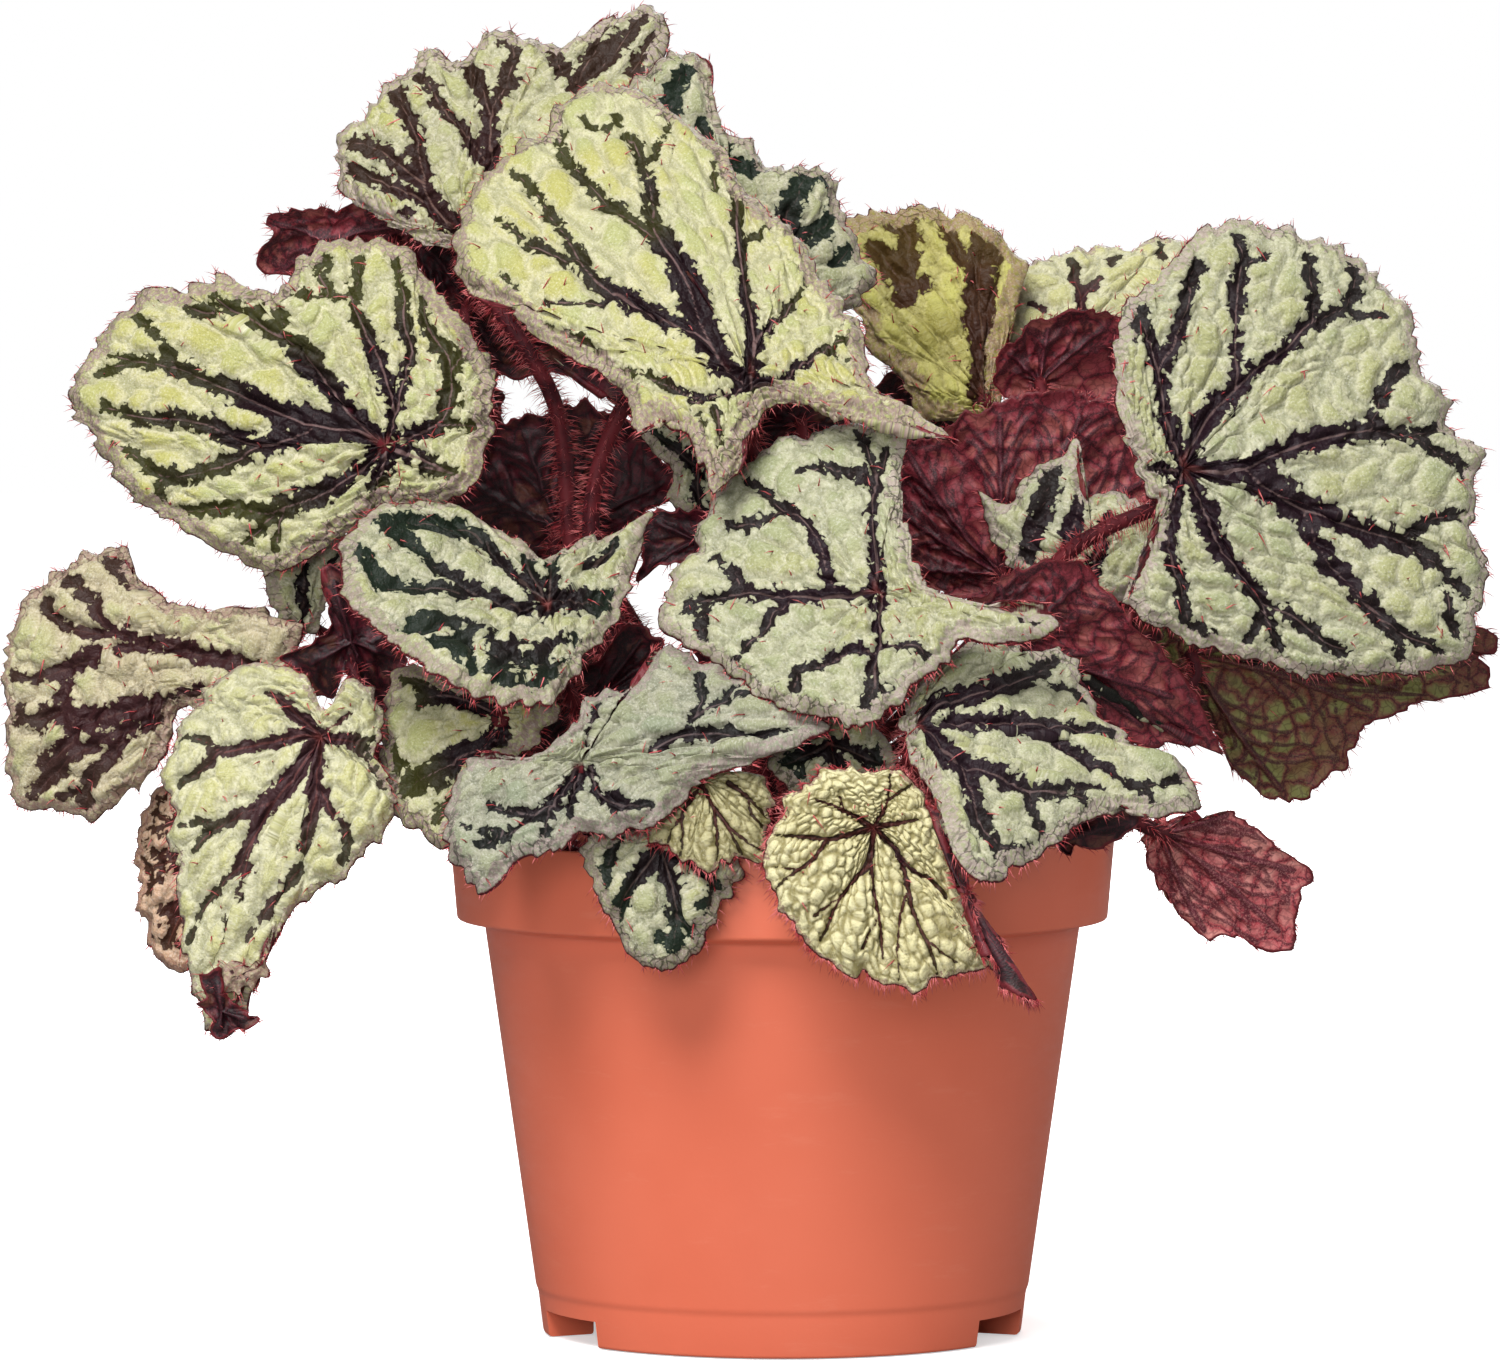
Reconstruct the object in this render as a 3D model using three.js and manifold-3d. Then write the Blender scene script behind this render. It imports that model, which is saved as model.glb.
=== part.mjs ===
// A potted rex begonia: a moulded plastic nursery pot, its soil, the creeping rhizome, and every
// leaf as a thin waved blade on its own hairy stalk.
// Millimetres, +Z up. The origin is on the ground, on the pot's axis. The front of the plant faces -Y.

import * as THREE from 'three';
import { mergeVertices } from 'three/addons/utils/BufferGeometryUtils.js';
import Module from 'manifold-3d';

const wasm = await Module();
wasm.setup();

// ---------------------------------------------------------------- driving dimensions

const POT = {
  rimRadius: 70,          // a 14 cm nursery pot
  bandFootRadius: 68.5,
  shoulderRadius: 62.7,
  waistRadius: 52,
  footRadius: 51,
  toeRadius: 50,
  height: 104.6,
  bandFoot: 87.3,
  waist: 10,
  footHeight: 7,
  wall: 1.2,
  floor: 1.6,
  sides: 56,
  edgeRound: 0.8,
};
// The foot is a ring, cut into four feet by notches, with a boss at its centre.
const FOOT = { wall: 10, notchHeight: 5.6, notchAngles: [-62.5, 66, 117.5, 246], notchWidth: 23, hubRadius: 7 };
const DRAIN = { count: 6, ringRadius: 34, radius: 4 };
const SOIL = { top: 90, crown: 2.5, sides: 36, rough: 0.8 };
const GAP = 0.35;         // between solids that touch
// The blades: valley is the half-width of the groove along a vein, and ringPower crowds the rings of
// corners towards the margin.
const BLADE = { thick: 0.8, puff: 0.8, valley: 4, wave: 0.7, ringPower: 1.15 };

// The leaves are drawn in the front elevation, as outlines in a picture 1500 wide and 1367 high.
// A far eye looks at the plant, and each outline point is carried along its line of sight to the
// depth that the blade has there.
const VIEW = {
  eye: new THREE.Vector3(-6.8, -1700, 206.6),
  aim: new THREE.Vector3(-6.8, 0, 136.6),
  centre: [750, 683.5],
  focal: 8080,
};

const COLOURS = {
  pot: 0xe8694a,
  soil: 0x2b2019,
  rhizome: 0x6b3a2c,
  stalk: 0x7d2c33,
  silver: 0xa9b58a,
  red: 0x7a1f2c,
};

// ---------------------------------------------------------------- the leaves
// hub: where the veins meet. y: the depth of the hub. face: how far the visible side is turned to
// the right and lifted upwards, in degrees. sag: how far the tip falls back; cup: how far the two
// sides fall back. puff: how far the blade swells between its veins.
// edge: the outline, clockwise in the picture. veins: the far ends of the main veins. core: the
// middle that the blade's rings of corners close in on, where that isn't the hub.
// under marks a leaf whose red underside faces the front.

const LEAVES = [
  {
    name: 'top_front', hub: [748, 378], y: -48, face: [-5, 35], tip: [600, 110], sag: 3, cup: 4, rings: 4,
    edge: [
      600, 82, 650, 92, 690, 125, 725, 150, 745, 185, 772, 212, 800, 240, 835, 290, 862, 335, 872, 385,
      910, 405, 955, 440, 900, 425, 840, 415, 780, 404, 745, 440, 735, 470, 712, 490, 700, 465, 688, 436,
      664, 422, 638, 434, 626, 402, 600, 370, 545, 342, 505, 305, 462, 285, 456, 250, 462, 210, 490, 165,
      540, 130, 565, 98,
    ],
    veins: [555, 145, 650, 120, 520, 190, 545, 335, 735, 190, 815, 270, 860, 345, 720, 470],
  },
  {
    name: 'centre', hub: [880, 596], y: -70, face: [-12, 30], tip: [740, 470], sag: 3, cup: 3, rings: 4,
    edge: [
      658, 622, 668, 580, 690, 545, 715, 490, 745, 460, 780, 440, 815, 430, 845, 420, 870, 418, 905, 430,
      902, 500, 915, 555, 930, 582, 1000, 606, 1060, 615, 1055, 630, 1005, 642, 962, 640, 945, 660,
      920, 680, 885, 715, 870, 727, 830, 718, 770, 700, 725, 670, 692, 650,
    ],
    veins: [740, 470, 865, 435, 690, 600, 870, 712, 800, 685, 1040, 622],
  },
  {
    name: 'low_right', hub: [916, 726], y: -78, face: [15, 35], tip: [1190, 780], sag: 2, cup: 2, rings: 4,
    edge: [
      903, 712, 925, 672, 962, 645, 1000, 642, 1045, 650, 1062, 648, 1085, 685, 1125, 735, 1165, 755, 1190, 775,
      1202, 803, 1155, 818, 1128, 812, 1095, 815, 1050, 845, 1015, 870, 995, 882, 960, 865, 935, 805,
      908, 750,
    ],
    veins: [1065, 672, 1120, 730, 1180, 782, 985, 850, 1045, 838],
  },
  {
    name: 'young_right', hub: [873, 828], y: -84, face: [5, 8], tip: [900, 990], sag: -1, cup: 2, rings: 4,
    puff: 1.6,
    edge: [
      778, 812, 800, 785, 850, 768, 905, 775, 935, 810, 955, 870, 975, 930, 1028, 1000, 992, 968, 945, 975,
      900, 990, 860, 975, 815, 955, 785, 915, 765, 875, 770, 840,
    ],
    veins: [775, 833, 825, 940, 880, 965, 1010, 985, 955, 890, 830, 785, 900, 785],
  },
  {
    name: 'low_front', hub: [582, 765], y: -70, face: [-12, 25], tip: [470, 860], sag: 2, cup: 1, rings: 4,
    puff: 1.4,
    edge: [
      585, 700, 605, 690, 630, 690, 645, 668, 666, 642, 690, 654, 730, 670, 800, 708, 830, 725, 800, 745,
      770, 757, 700, 780, 690, 795, 650, 825, 595, 835, 575, 832, 560, 850, 515, 862, 485, 888,
      450, 855, 443, 820, 455, 785, 470, 757, 505, 757, 540, 750, 575, 725,
    ],
    veins: [600, 698, 690, 660, 820, 725, 690, 785, 620, 830, 560, 845, 470, 795, 455, 840, 490, 880],
  },
  {
    name: 'young_left', hub: [705, 782], y: -72, face: [0, 15], tip: [715, 865], sag: 0, cup: 1, rings: 2,
    puff: 1.2,
    edge: [
      640, 830, 665, 800, 690, 778, 715, 772, 750, 768, 775, 800, 768, 830, 772, 855, 742, 862, 715, 868,
      690, 862, 670, 850,
    ],
    veins: [660, 820, 690, 855, 735, 862, 765, 850, 772, 810],
  },
  {
    name: 'rim_front', hub: [662, 842], y: -71, face: [-4, 5], tip: [660, 968], sag: -1, cup: 1.5, rings: 3,
    edge: [
      610, 830, 650, 826, 700, 832, 735, 855, 742, 875, 728, 905, 707, 930, 700, 955, 660, 970, 620, 945,
      600, 900, 590, 870, 583, 840,
    ],
    veins: [675, 955, 612, 920, 725, 895, 595, 860],
  },
  {
    name: 'bowl', hub: [548, 608], y: -52, face: [2, 42], tip: [400, 560], sag: -6, cup: -4, rings: 4,
    edge: [
      342, 560, 350, 530, 380, 507, 440, 500, 480, 515, 525, 540, 548, 556, 575, 540, 615, 530, 655, 512,
      642, 540, 635, 580, 610, 632, 585, 655, 560, 690, 520, 703, 475, 695, 430, 670, 395, 640,
      365, 610, 348, 600,
    ],
    veins: [360, 545, 420, 510, 500, 530, 560, 560, 630, 530, 600, 620, 520, 695, 440, 665, 375, 605],
  },
  {
    name: 'left_low', hub: [505, 722], y: -48, face: [-20, 20], tip: [410, 800], sag: 2, cup: 1, rings: 3,
    edge: [
      385, 700, 396, 665, 450, 672, 505, 690, 560, 702, 535, 745, 512, 762, 478, 790, 462, 820,
      447, 850, 405, 825, 385, 790, 380, 745,
    ],
    veins: [410, 690, 395, 740, 410, 800, 450, 780],
  },
  {
    name: 'left_drooping', hub: [322, 738], y: -45, face: [-10, 15], tip: [213, 1020], sag: 6, cup: 4, rings: 4,
    edge: [
      262, 660, 305, 675, 328, 702, 347, 677, 384, 708, 380, 760, 396, 812, 362, 858, 312, 897,
      282, 927, 268, 950, 258, 975, 247, 992, 241, 1012, 232, 1036, 213, 1039, 198, 1006, 186, 978,
      180, 920, 174, 860, 165, 790, 163, 765, 185, 710, 220, 675,
    ],
    veins: [270, 690, 180, 790, 190, 865, 208, 925, 305, 855, 370, 765, 230, 985],
  },
  {
    name: 'left_large', hub: [388, 447], y: -16, face: [-15, 12], tip: [80, 400], sag: 4, cup: 5, rings: 4,
    edge: [
      350, 240, 405, 242, 425, 275, 470, 330, 492, 365, 496, 410, 490, 440, 470, 487, 432, 507, 385, 505,
      365, 525, 320, 550, 262, 573, 214, 547, 163, 516, 123, 491, 95, 442, 70, 400, 72, 372, 98, 335,
      115, 312, 160, 285, 180, 292, 222, 272, 248, 290, 283, 285, 300, 257, 320, 243,
    ],
    veins: [110, 350, 165, 300, 95, 440, 160, 505, 240, 560, 340, 255, 398, 250, 430, 310, 490, 430, 420, 498],
  },
  {
    name: 'far_left', hub: [262, 668], core: [150, 680], y: -4, face: [-16, 8], tip: [10, 700], sag: 4, cup: 3, rings: 4,
    edge: [
      5, 650, 15, 620, 35, 595, 70, 560, 100, 548, 125, 547, 140, 578, 158, 596, 190, 603, 228, 609,
      262, 608, 295, 625, 297, 660, 280, 690, 235, 700, 200, 712, 180, 705, 165, 745, 140, 785, 95, 820,
      60, 814, 16, 805, 6, 770, 2, 704,
    ],
    veins: [115, 565, 30, 620, 10, 690, 45, 790, 150, 750],
  },
  {
    name: 'left_behind', hub: [215, 850], y: 8, face: [-12, 5], tip: [140, 900], sag: 2, cup: 2, rings: 2,
    edge: [
      225, 785, 262, 820, 260, 880, 225, 940, 183, 975, 158, 959, 144, 933, 133, 903, 133, 860, 138, 830,
      150, 805, 168, 778,
    ],
    veins: [150, 810, 140, 870, 165, 950, 240, 900],
  },
  {
    name: 'left_folded', hub: [308, 600], y: 0, face: [20, -5], tip: [280, 655], sag: 1, cup: 2, rings: 2,
    edge: [
      270, 566, 285, 556, 303, 545, 348, 534, 346, 572, 328, 590, 326, 610, 318, 630, 300, 642, 277, 660,
      286, 636, 284, 622, 272, 606,
    ],
    veins: [303, 556, 290, 650],
  },
  {
    name: 'left_inner_under', hub: [350, 666], core: [350, 640], y: -16, face: [10, -20], tip: [300, 690],
    sag: 2, cup: 2, rings: 2, under: true,
    edge: [
      325, 565, 348, 575, 385, 622, 405, 658, 400, 682, 388, 712, 364, 692, 345, 672, 333, 700,
      300, 672, 285, 655, 322, 628, 330, 600,
    ],
    veins: [335, 580, 375, 650, 370, 690, 305, 665],
  },
  {
    name: 'fold_under', hub: [592, 700], y: -26, face: [-10, -15], tip: [540, 745], sag: 0, cup: 2, rings: 2,
    under: true,
    edge: [
      535, 748, 542, 702, 565, 678, 600, 655, 620, 632, 645, 625, 662, 640, 655, 672, 640, 692, 600, 705,
      570, 735,
    ],
    veins: [545, 740, 640, 640, 640, 685],
  },
  {
    name: 'left_top', hub: [462, 232], y: 24, face: [-10, 20], tip: [540, 30], sag: 4, cup: 4, rings: 4,
    edge: [
      332, 155, 340, 132, 368, 105, 400, 75, 432, 48, 455, 58, 490, 33, 515, 30, 555, 42, 590, 25,
      625, 12, 642, 2, 660, 20, 668, 45, 645, 100, 600, 160, 540, 215, 500, 262, 458, 250, 425, 243,
      385, 225, 345, 195, 333, 175,
    ],
    veins: [345, 140, 400, 85, 470, 60, 510, 38, 560, 50, 600, 35, 645, 20],
  },
  {
    name: 'behind_top', hub: [735, 300], y: 4, face: [4, 15], tip: [690, 60], sag: 3, cup: 3, rings: 3,
    edge: [
      620, 105, 640, 72, 665, 57, 697, 50, 712, 85, 724, 130, 750, 140, 768, 160, 812, 162, 842, 200,
      850, 225, 868, 265, 875, 278, 850, 310, 790, 340, 720, 345, 660, 300, 625, 220, 612, 150,
    ],
    veins: [690, 60, 745, 150, 830, 200, 865, 272, 640, 130],
  },
  {
    name: 'edge_top_left', hub: [394, 240], core: [330, 238], y: 54, face: [-10, -30], tip: [265, 225], sag: 0, cup: 1, rings: 2,
    under: true,
    edge: [
      262, 222, 305, 205, 335, 210, 362, 200, 400, 215, 425, 245, 415, 275, 360, 262, 318, 256,
      286, 276, 260, 254, 275, 234,
    ],
    veins: [275, 222, 290, 265, 400, 225],
  },
  {
    name: 'centre_under', hub: [560, 526], y: 34, face: [-8, -15], tip: [460, 480], sag: 2, cup: 3, rings: 3,
    under: true,
    edge: [
      458, 485, 474, 448, 492, 428, 535, 410, 570, 404, 612, 410, 645, 432, 668, 462, 672, 498,
      640, 520, 590, 540, 545, 545, 500, 525,
    ],
    veins: [470, 480, 520, 420, 600, 415, 660, 480],
  },
  {
    name: 'upper_under', hub: [470, 300], y: 40, face: [-8, -12], tip: [600, 385], sag: 2, cup: 1, rings: 2,
    under: true,
    edge: [
      408, 232, 440, 225, 500, 250, 560, 310, 620, 352, 650, 395, 640, 420, 612, 402, 580, 382, 545, 374,
      500, 375, 478, 348, 448, 315, 425, 280,
    ],
    veins: [420, 240, 560, 340, 500, 360],
  },
  {
    name: 'strip_under', hub: [800, 425], y: -24, face: [4, 10], tip: [860, 420], sag: 0, cup: 0, rings: 2,
    under: true,
    edge: [728, 410, 770, 395, 820, 402, 866, 410, 880, 432, 840, 450, 790, 462, 745, 455, 724, 430],
    veins: [740, 430, 865, 425],
  },
  {
    name: 'inner_dark', hub: [700, 470], y: -16, face: [-10, 10], tip: [650, 420], sag: 1, cup: 1, rings: 2,
    edge: [
      638, 425, 660, 412, 700, 415, 750, 430, 760, 470, 735, 510, 705, 545, 685, 520, 668, 500, 672, 470,
      648, 450,
    ],
    veins: [650, 430, 745, 440, 700, 535],
  },
  {
    name: 'inner_under', hub: [722, 580], core: [695, 540], y: -28, face: [-10, -10], tip: [640, 575], sag: 1, cup: 1, rings: 2,
    under: true,
    edge: [648, 512, 680, 508, 715, 515, 745, 545, 735, 590, 700, 590, 690, 560, 664, 568, 640, 580, 641, 545],
    veins: [652, 520, 645, 570, 730, 580],
  },
  {
    name: 'shade_front', hub: [830, 745], y: -62, face: [0, 20], tip: [775, 770], sag: 0, cup: 1, rings: 2,
    edge: [770, 760, 800, 725, 830, 708, 870, 712, 890, 735, 898, 765, 888, 790, 850, 788, 800, 792, 775, 785],
    veins: [780, 770, 890, 770, 840, 785],
  },
  {
    name: 'rim_right', hub: [1066, 838], y: -50, face: [10, 0], tip: [1140, 830], sag: 0, cup: 1, rings: 2,
    edge: [1050, 838, 1070, 810, 1100, 800, 1130, 806, 1138, 822, 1126, 836, 1095, 848, 1065, 850],
    veins: [1060, 835, 1130, 822],
  },
  {
    name: 'right_large', hub: [1182, 470], y: -30, face: [8, 12], tip: [1480, 560], sag: 4, cup: 5, rings: 4,
    edge: [
      1113, 345, 1125, 308, 1150, 280, 1175, 255, 1205, 228, 1250, 219, 1305, 232, 1350, 252, 1392, 285,
      1418, 325, 1420, 360, 1448, 400, 1452, 428, 1486, 448, 1472, 490, 1478, 535, 1493, 568, 1480, 620, 1468, 658,
      1400, 672, 1310, 675, 1240, 655, 1170, 635, 1125, 600, 1145, 552, 1155, 505, 1138, 470, 1120, 420,
      1116, 385,
    ],
    veins: [1130, 310, 1195, 255, 1250, 235, 1350, 262, 1400, 320, 1450, 455, 1470, 580, 1400, 655, 1285, 655,
      1192, 625],
  },
  {
    name: 'right_under', hub: [1010, 642], y: -34, face: [14, -18], tip: [1215, 745], sag: 2, cup: 4, rings: 3,
    under: true,
    edge: [
      975, 600, 1010, 570, 1060, 558, 1092, 572, 1125, 610, 1170, 660, 1205, 710, 1222, 755, 1203, 746,
      1165, 738, 1150, 745, 1115, 732, 1078, 702, 1040, 690, 1000, 660, 975, 630,
    ],
    veins: [1000, 590, 1085, 575, 1200, 705, 1150, 735, 1010, 655],
  },
  {
    name: 'inner_right_face', hub: [1095, 560], y: 2, face: [-6, 12], tip: [1078, 445], sag: 1, cup: 2, rings: 3,
    edge: [
      978, 490, 1008, 504, 1020, 485, 1048, 462, 1078, 440, 1088, 490, 1130, 490, 1165, 515, 1155, 560,
      1125, 600, 1080, 610, 1030, 590, 1005, 560, 985, 522,
    ],
    veins: [990, 500, 1070, 455, 1150, 520, 1015, 555],
  },
  {
    name: 'inner_right_under', hub: [1000, 572], y: 24, face: [4, -12], tip: [1070, 395], sag: 3, cup: 5, rings: 3,
    under: true,
    edge: [
      897, 440, 930, 432, 960, 415, 1000, 400, 1040, 388, 1085, 394, 1120, 404, 1146, 440, 1160, 495,
      1130, 540, 1060, 560, 1010, 590, 985, 602, 935, 585, 905, 550, 893, 490,
    ],
    veins: [910, 450, 1000, 405, 1085, 405, 1135, 490, 930, 570, 900, 510],
  },
  {
    name: 'back_green', hub: [985, 402], y: 50, face: [0, 15], tip: [900, 215], sag: 3, cup: 3, rings: 3,
    edge: [
      845, 215, 880, 212, 910, 208, 950, 210, 990, 222, 1015, 250, 1030, 265, 1016, 310, 1002, 360,
      1000, 402, 985, 440, 950, 425, 920, 420, 900, 380, 873, 354, 866, 334, 850, 305, 842, 285, 840, 250,
    ],
    veins: [860, 230, 920, 220, 1000, 250, 915, 400, 880, 310],
  },
  {
    name: 'back_right', hub: [1075, 345], y: 66, face: [6, 20], tip: [1150, 240], sag: 2, cup: 3, rings: 3,
    edge: [
      1003, 330, 1010, 290, 1032, 262, 1055, 252, 1082, 245, 1115, 246, 1150, 240, 1180, 236, 1200, 242,
      1215, 290, 1190, 350, 1140, 390, 1080, 400, 1030, 380,
    ],
    veins: [1030, 280, 1085, 250, 1150, 245, 1195, 260, 1150, 370],
  },
  {
    name: 'back_right_fold', hub: [1040, 382], y: 44, face: [4, -25], tip: [1060, 315], sag: 0, cup: 2, rings: 2,
    under: true,
    edge: [
      998, 352, 1020, 335, 1045, 318, 1080, 312, 1118, 318, 1132, 345, 1128, 392, 1060, 402, 1000, 396,
    ],
    veins: [1010, 355, 1050, 322, 1110, 325],
  },
  {
    name: 'right_low_under', hub: [1190, 652], y: 16, face: [6, -16], tip: [1300, 795], sag: 3, cup: 5, rings: 3,
    under: true,
    edge: [
      1150, 640, 1200, 600, 1290, 580, 1400, 600, 1440, 622, 1478, 625, 1500, 648, 1481, 653, 1488, 681,
      1438, 699, 1404, 706, 1361, 732, 1335, 774, 1292, 799, 1258, 791, 1226, 757, 1200, 724, 1175, 690,
    ],
    veins: [1190, 700, 1280, 785, 1380, 715, 1480, 650, 1400, 610, 1220, 605],
  },
  {
    name: 'right_small_under', hub: [1160, 832], y: -8, face: [12, -8], tip: [1270, 945], sag: 2, cup: 3, rings: 3,
    under: true,
    edge: [
      1137, 815, 1182, 822, 1212, 811, 1225, 812, 1270, 840, 1303, 868, 1299, 905, 1292, 935, 1276, 951,
      1240, 936, 1210, 938, 1180, 915, 1158, 885, 1146, 850,
    ],
    veins: [1285, 940, 1290, 870, 1225, 815, 1195, 910],
  },
  // The leaves at the rear face away from the front. Each has the plain outline of heartShape.
  { name: 'back_left_high', hub: [395, 418], y: 66, face: [25, -30], tip: [180, 335], skew: 0.12, sag: 4, cup: 4 },
  { name: 'back_top', hub: [715, 290], y: 64, face: [5, -35], tip: [590, 105], skew: -0.12, sag: 4, cup: 4 },
  { name: 'back_right_high', hub: [1260, 500], y: 58, face: [-25, -30], tip: [1385, 310], skew: 0.1, sag: 4, cup: 4 },
  { name: 'back_left_low', hub: [530, 630], y: 58, face: [42, -20], tip: [430, 795], skew: -0.1, sag: 4, cup: 4 },
  { name: 'back_low', hub: [800, 600], y: 88, face: [0, -20], tip: [800, 820], skew: 0.12, sag: 4, cup: 5 },
  { name: 'back_right_low', hub: [1060, 590], y: 72, face: [-42, -20], tip: [1190, 695], skew: 0.1, sag: 4, cup: 4 },
  { name: 'back_centre', hub: [900, 515], y: 92, face: [-4, -30], tip: [955, 330], skew: -0.12, sag: 4, cup: 4 },
];

const HEART = {
  corners: 18, point: 0.54, pointAngle: 0.5, notch: 0.34, notchAngle: 0.28, teeth: 0.03,
  veinAngles: [0, 0.6, -0.6, 1.3, -1.3, 2.2, -2.2], veinShare: 0.85, rings: 3,
};

// Stalks that are pieces of their own: the hole in the soil where each one stands, and the points
// that it is bent through. lead is the last point before the blade, from the blade's hub.
const STALK = { sides: 6, steps: 8, depth: 9, rise: 5, baseRadius: 2.3, tipRadius: 1.5, hole: 0.4 };
const STALKS = [
  { leaf: 'top_front', foot: [-2, -10], via: [[-6, -22, 165]] },
  { leaf: 'centre', foot: [10, -20] },
  { leaf: 'low_right', foot: [22, -24], via: [[32, -56, 116]] },
  { leaf: 'young_right', foot: [12, -32], via: [[15, -62, 112]], lead: [0, 8, 2] },
  { leaf: 'low_front', foot: [-20, -26] },
  { leaf: 'rim_front', foot: [-14, -36], via: [[-23, -62, 109]], lead: [0, 5, 3] },
  { leaf: 'bowl', foot: [-22, -12] },
  { leaf: 'left_low', foot: [-30, -18] },
  { leaf: 'left_drooping', foot: [-34, -6] },
  { leaf: 'left_large', foot: [-24, 2], via: [[-50, -6, 145]] },
  { leaf: 'far_left', foot: [-36, 6] },
  { leaf: 'left_top', foot: [-14, 8], via: [[-43, 8, 158], [-48, 12, 195]] },
  { leaf: 'behind_top', foot: [-8, 0], via: [[-40, -8, 168], [-30, -6, 200]] },
  { leaf: 'right_large', foot: [22, -6], via: [[58, -14, 163]] },
  { leaf: 'right_small_under', foot: [36, -4], via: [[66, -6, 111]], lead: [-6, -5, 3] },
];

// The rhizome creeps along the soil, and its stalks are one body with it.
const RHIZOME = {
  path: [[-12, 22, 90], [-4, 14, 93], [4, 4, 94], [6, -6, 92]],
  radii: [4, 6.5, 7, 5],
  sides: 8,
  steps: 8,
  roots: [[-8, 20, -24, 34], [-2, 12, 6, 14], [4, 4, 26, 20], [5, -3, 20, -22], [0, 8, -18, -6]],
  rootDepth: 42,
  rootRadii: [1.6, 0.8],
};

// The stalks that are one body with the rhizome: each starts inside it, at root.
const RUNNER = { sides: 5, steps: 6, rise: 9, baseRadius: 1.8, tipRadius: 1.1 };
const RHIZOME_STALKS = [
  { leaf: 'young_left', root: 0.95, via: [[-2, -36, 104], [-12, -58, 112]] },
  { leaf: 'left_behind', root: 0.1, via: [[-64, 18, 118], [-88, 12, 112]] },
  { leaf: 'left_folded', root: 0.05, via: [[-60, 26, 128]] },
  { leaf: 'left_inner_under', root: 0.15, via: [[-44, 22, 118], [-78, -8, 122]], lead: [2, -3, -6] },
  { leaf: 'fold_under', root: 0.85, via: [[-12, -6, 112], [-22, -20, 126]], lead: [4, -5, -2] },
  { leaf: 'edge_top_left', root: 0.1, via: [[-50, 46, 160]] },
  { leaf: 'centre_under', root: 0.3 },
  { leaf: 'upper_under', root: 0.15, via: [[-52, 52, 170]] },
  { leaf: 'strip_under', root: 0.75 },
  { leaf: 'right_under', root: 0.95 },
  { leaf: 'inner_right_under', root: 0.65 },
  { leaf: 'inner_dark', root: 0.8 },
  { leaf: 'inner_under', root: 0.85, via: [[4, -10, 120]] },
  { leaf: 'shade_front', root: 0.92 },
  { leaf: 'rim_right', root: 0.9, via: [[44, -40, 112]] },
  { leaf: 'inner_right_face', root: 0.7 },
  { leaf: 'back_right', root: 0.45, via: [[40, 46, 150]] },
  { leaf: 'back_right_fold', root: 0.5, via: [[34, 40, 150]] },
  { leaf: 'right_low_under', root: 0.6 },
  { leaf: 'back_green', root: 0.5 },
  { leaf: 'back_left_high', root: 0.1, via: [[-45, 47, 166]] },
  { leaf: 'back_top', root: 0.25 },
  { leaf: 'back_right_high', root: 0.4 },
  { leaf: 'back_left_low', root: 0.1 },
  { leaf: 'back_low', root: 0.2 },
  { leaf: 'back_right_low', root: 0.35 },
  { leaf: 'back_centre', root: 0.3 },
];

// ---------------------------------------------------------------- solids

function toSolid(geometry) {
  const plain = geometry.clone();
  plain.deleteAttribute('normal');
  plain.deleteAttribute('uv');
  const merged = mergeVertices(plain, 1e-4);
  return new wasm.Manifold(new wasm.Mesh({
    numProp: 3,
    vertProperties: new Float32Array(merged.attributes.position.array),
    triVerts: new Uint32Array(merged.index.array),
  }));
}

function toGeometry(solid) {
  const mesh = solid.getMesh();
  const geometry = new THREE.BufferGeometry();
  geometry.setAttribute('position', new THREE.BufferAttribute(new Float32Array(mesh.vertProperties), 3));
  geometry.setIndex([...mesh.triVerts]);
  geometry.computeVertexNormals();
  return geometry;
}

function indexed(points, triangles) {
  const geometry = new THREE.BufferGeometry();
  geometry.setAttribute('position', new THREE.Float32BufferAttribute(points.flatMap((p) => p.toArray()), 3));
  geometry.setIndex(triangles);
  geometry.computeVertexNormals();
  return geometry;
}

// A tube along a curve with closed flat ends. stops are the shares of its length that get a ring of
// corners, and radiusAt gives the radius at a share.
function tube(curve, radiusAt, stops, sides) {
  const points = [];
  const triangles = [];
  const out = new THREE.Vector3(1, 0, 0);
  for (const stop of stops) {
    const centre = curve.getPointAt(stop);
    const tangent = curve.getTangentAt(stop);
    out.addScaledVector(tangent, -out.dot(tangent)).normalize();
    const across = tangent.clone().cross(out);
    for (let k = 0; k < sides; k += 1) {
      const angle = (2 * Math.PI * k) / sides;
      const offset = out.clone().multiplyScalar(Math.cos(angle)).addScaledVector(across, Math.sin(angle));
      points.push(centre.clone().addScaledVector(offset, radiusAt(stop)));
    }
  }
  const steps = stops.length - 1;
  for (let i = 0; i < steps; i += 1) {
    for (let k = 0; k < sides; k += 1) {
      const a = i * sides + k;
      const b = i * sides + ((k + 1) % sides);
      triangles.push(a, b, b + sides, a, b + sides, a + sides);
    }
  }
  const last = steps * sides;
  for (let k = 1; k < sides - 1; k += 1) {
    triangles.push(0, k + 1, k);
    triangles.push(last, last + k, last + k + 1);
  }
  return indexed(points, triangles);
}

function evenStops(steps, from = 0) {
  const stops = from > 0 ? [0] : [];
  for (let i = 0; i <= steps; i += 1) stops.push(Math.min(1, from + ((1 - from) * i) / steps));
  return stops;
}

// ---------------------------------------------------------------- the pot

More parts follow.
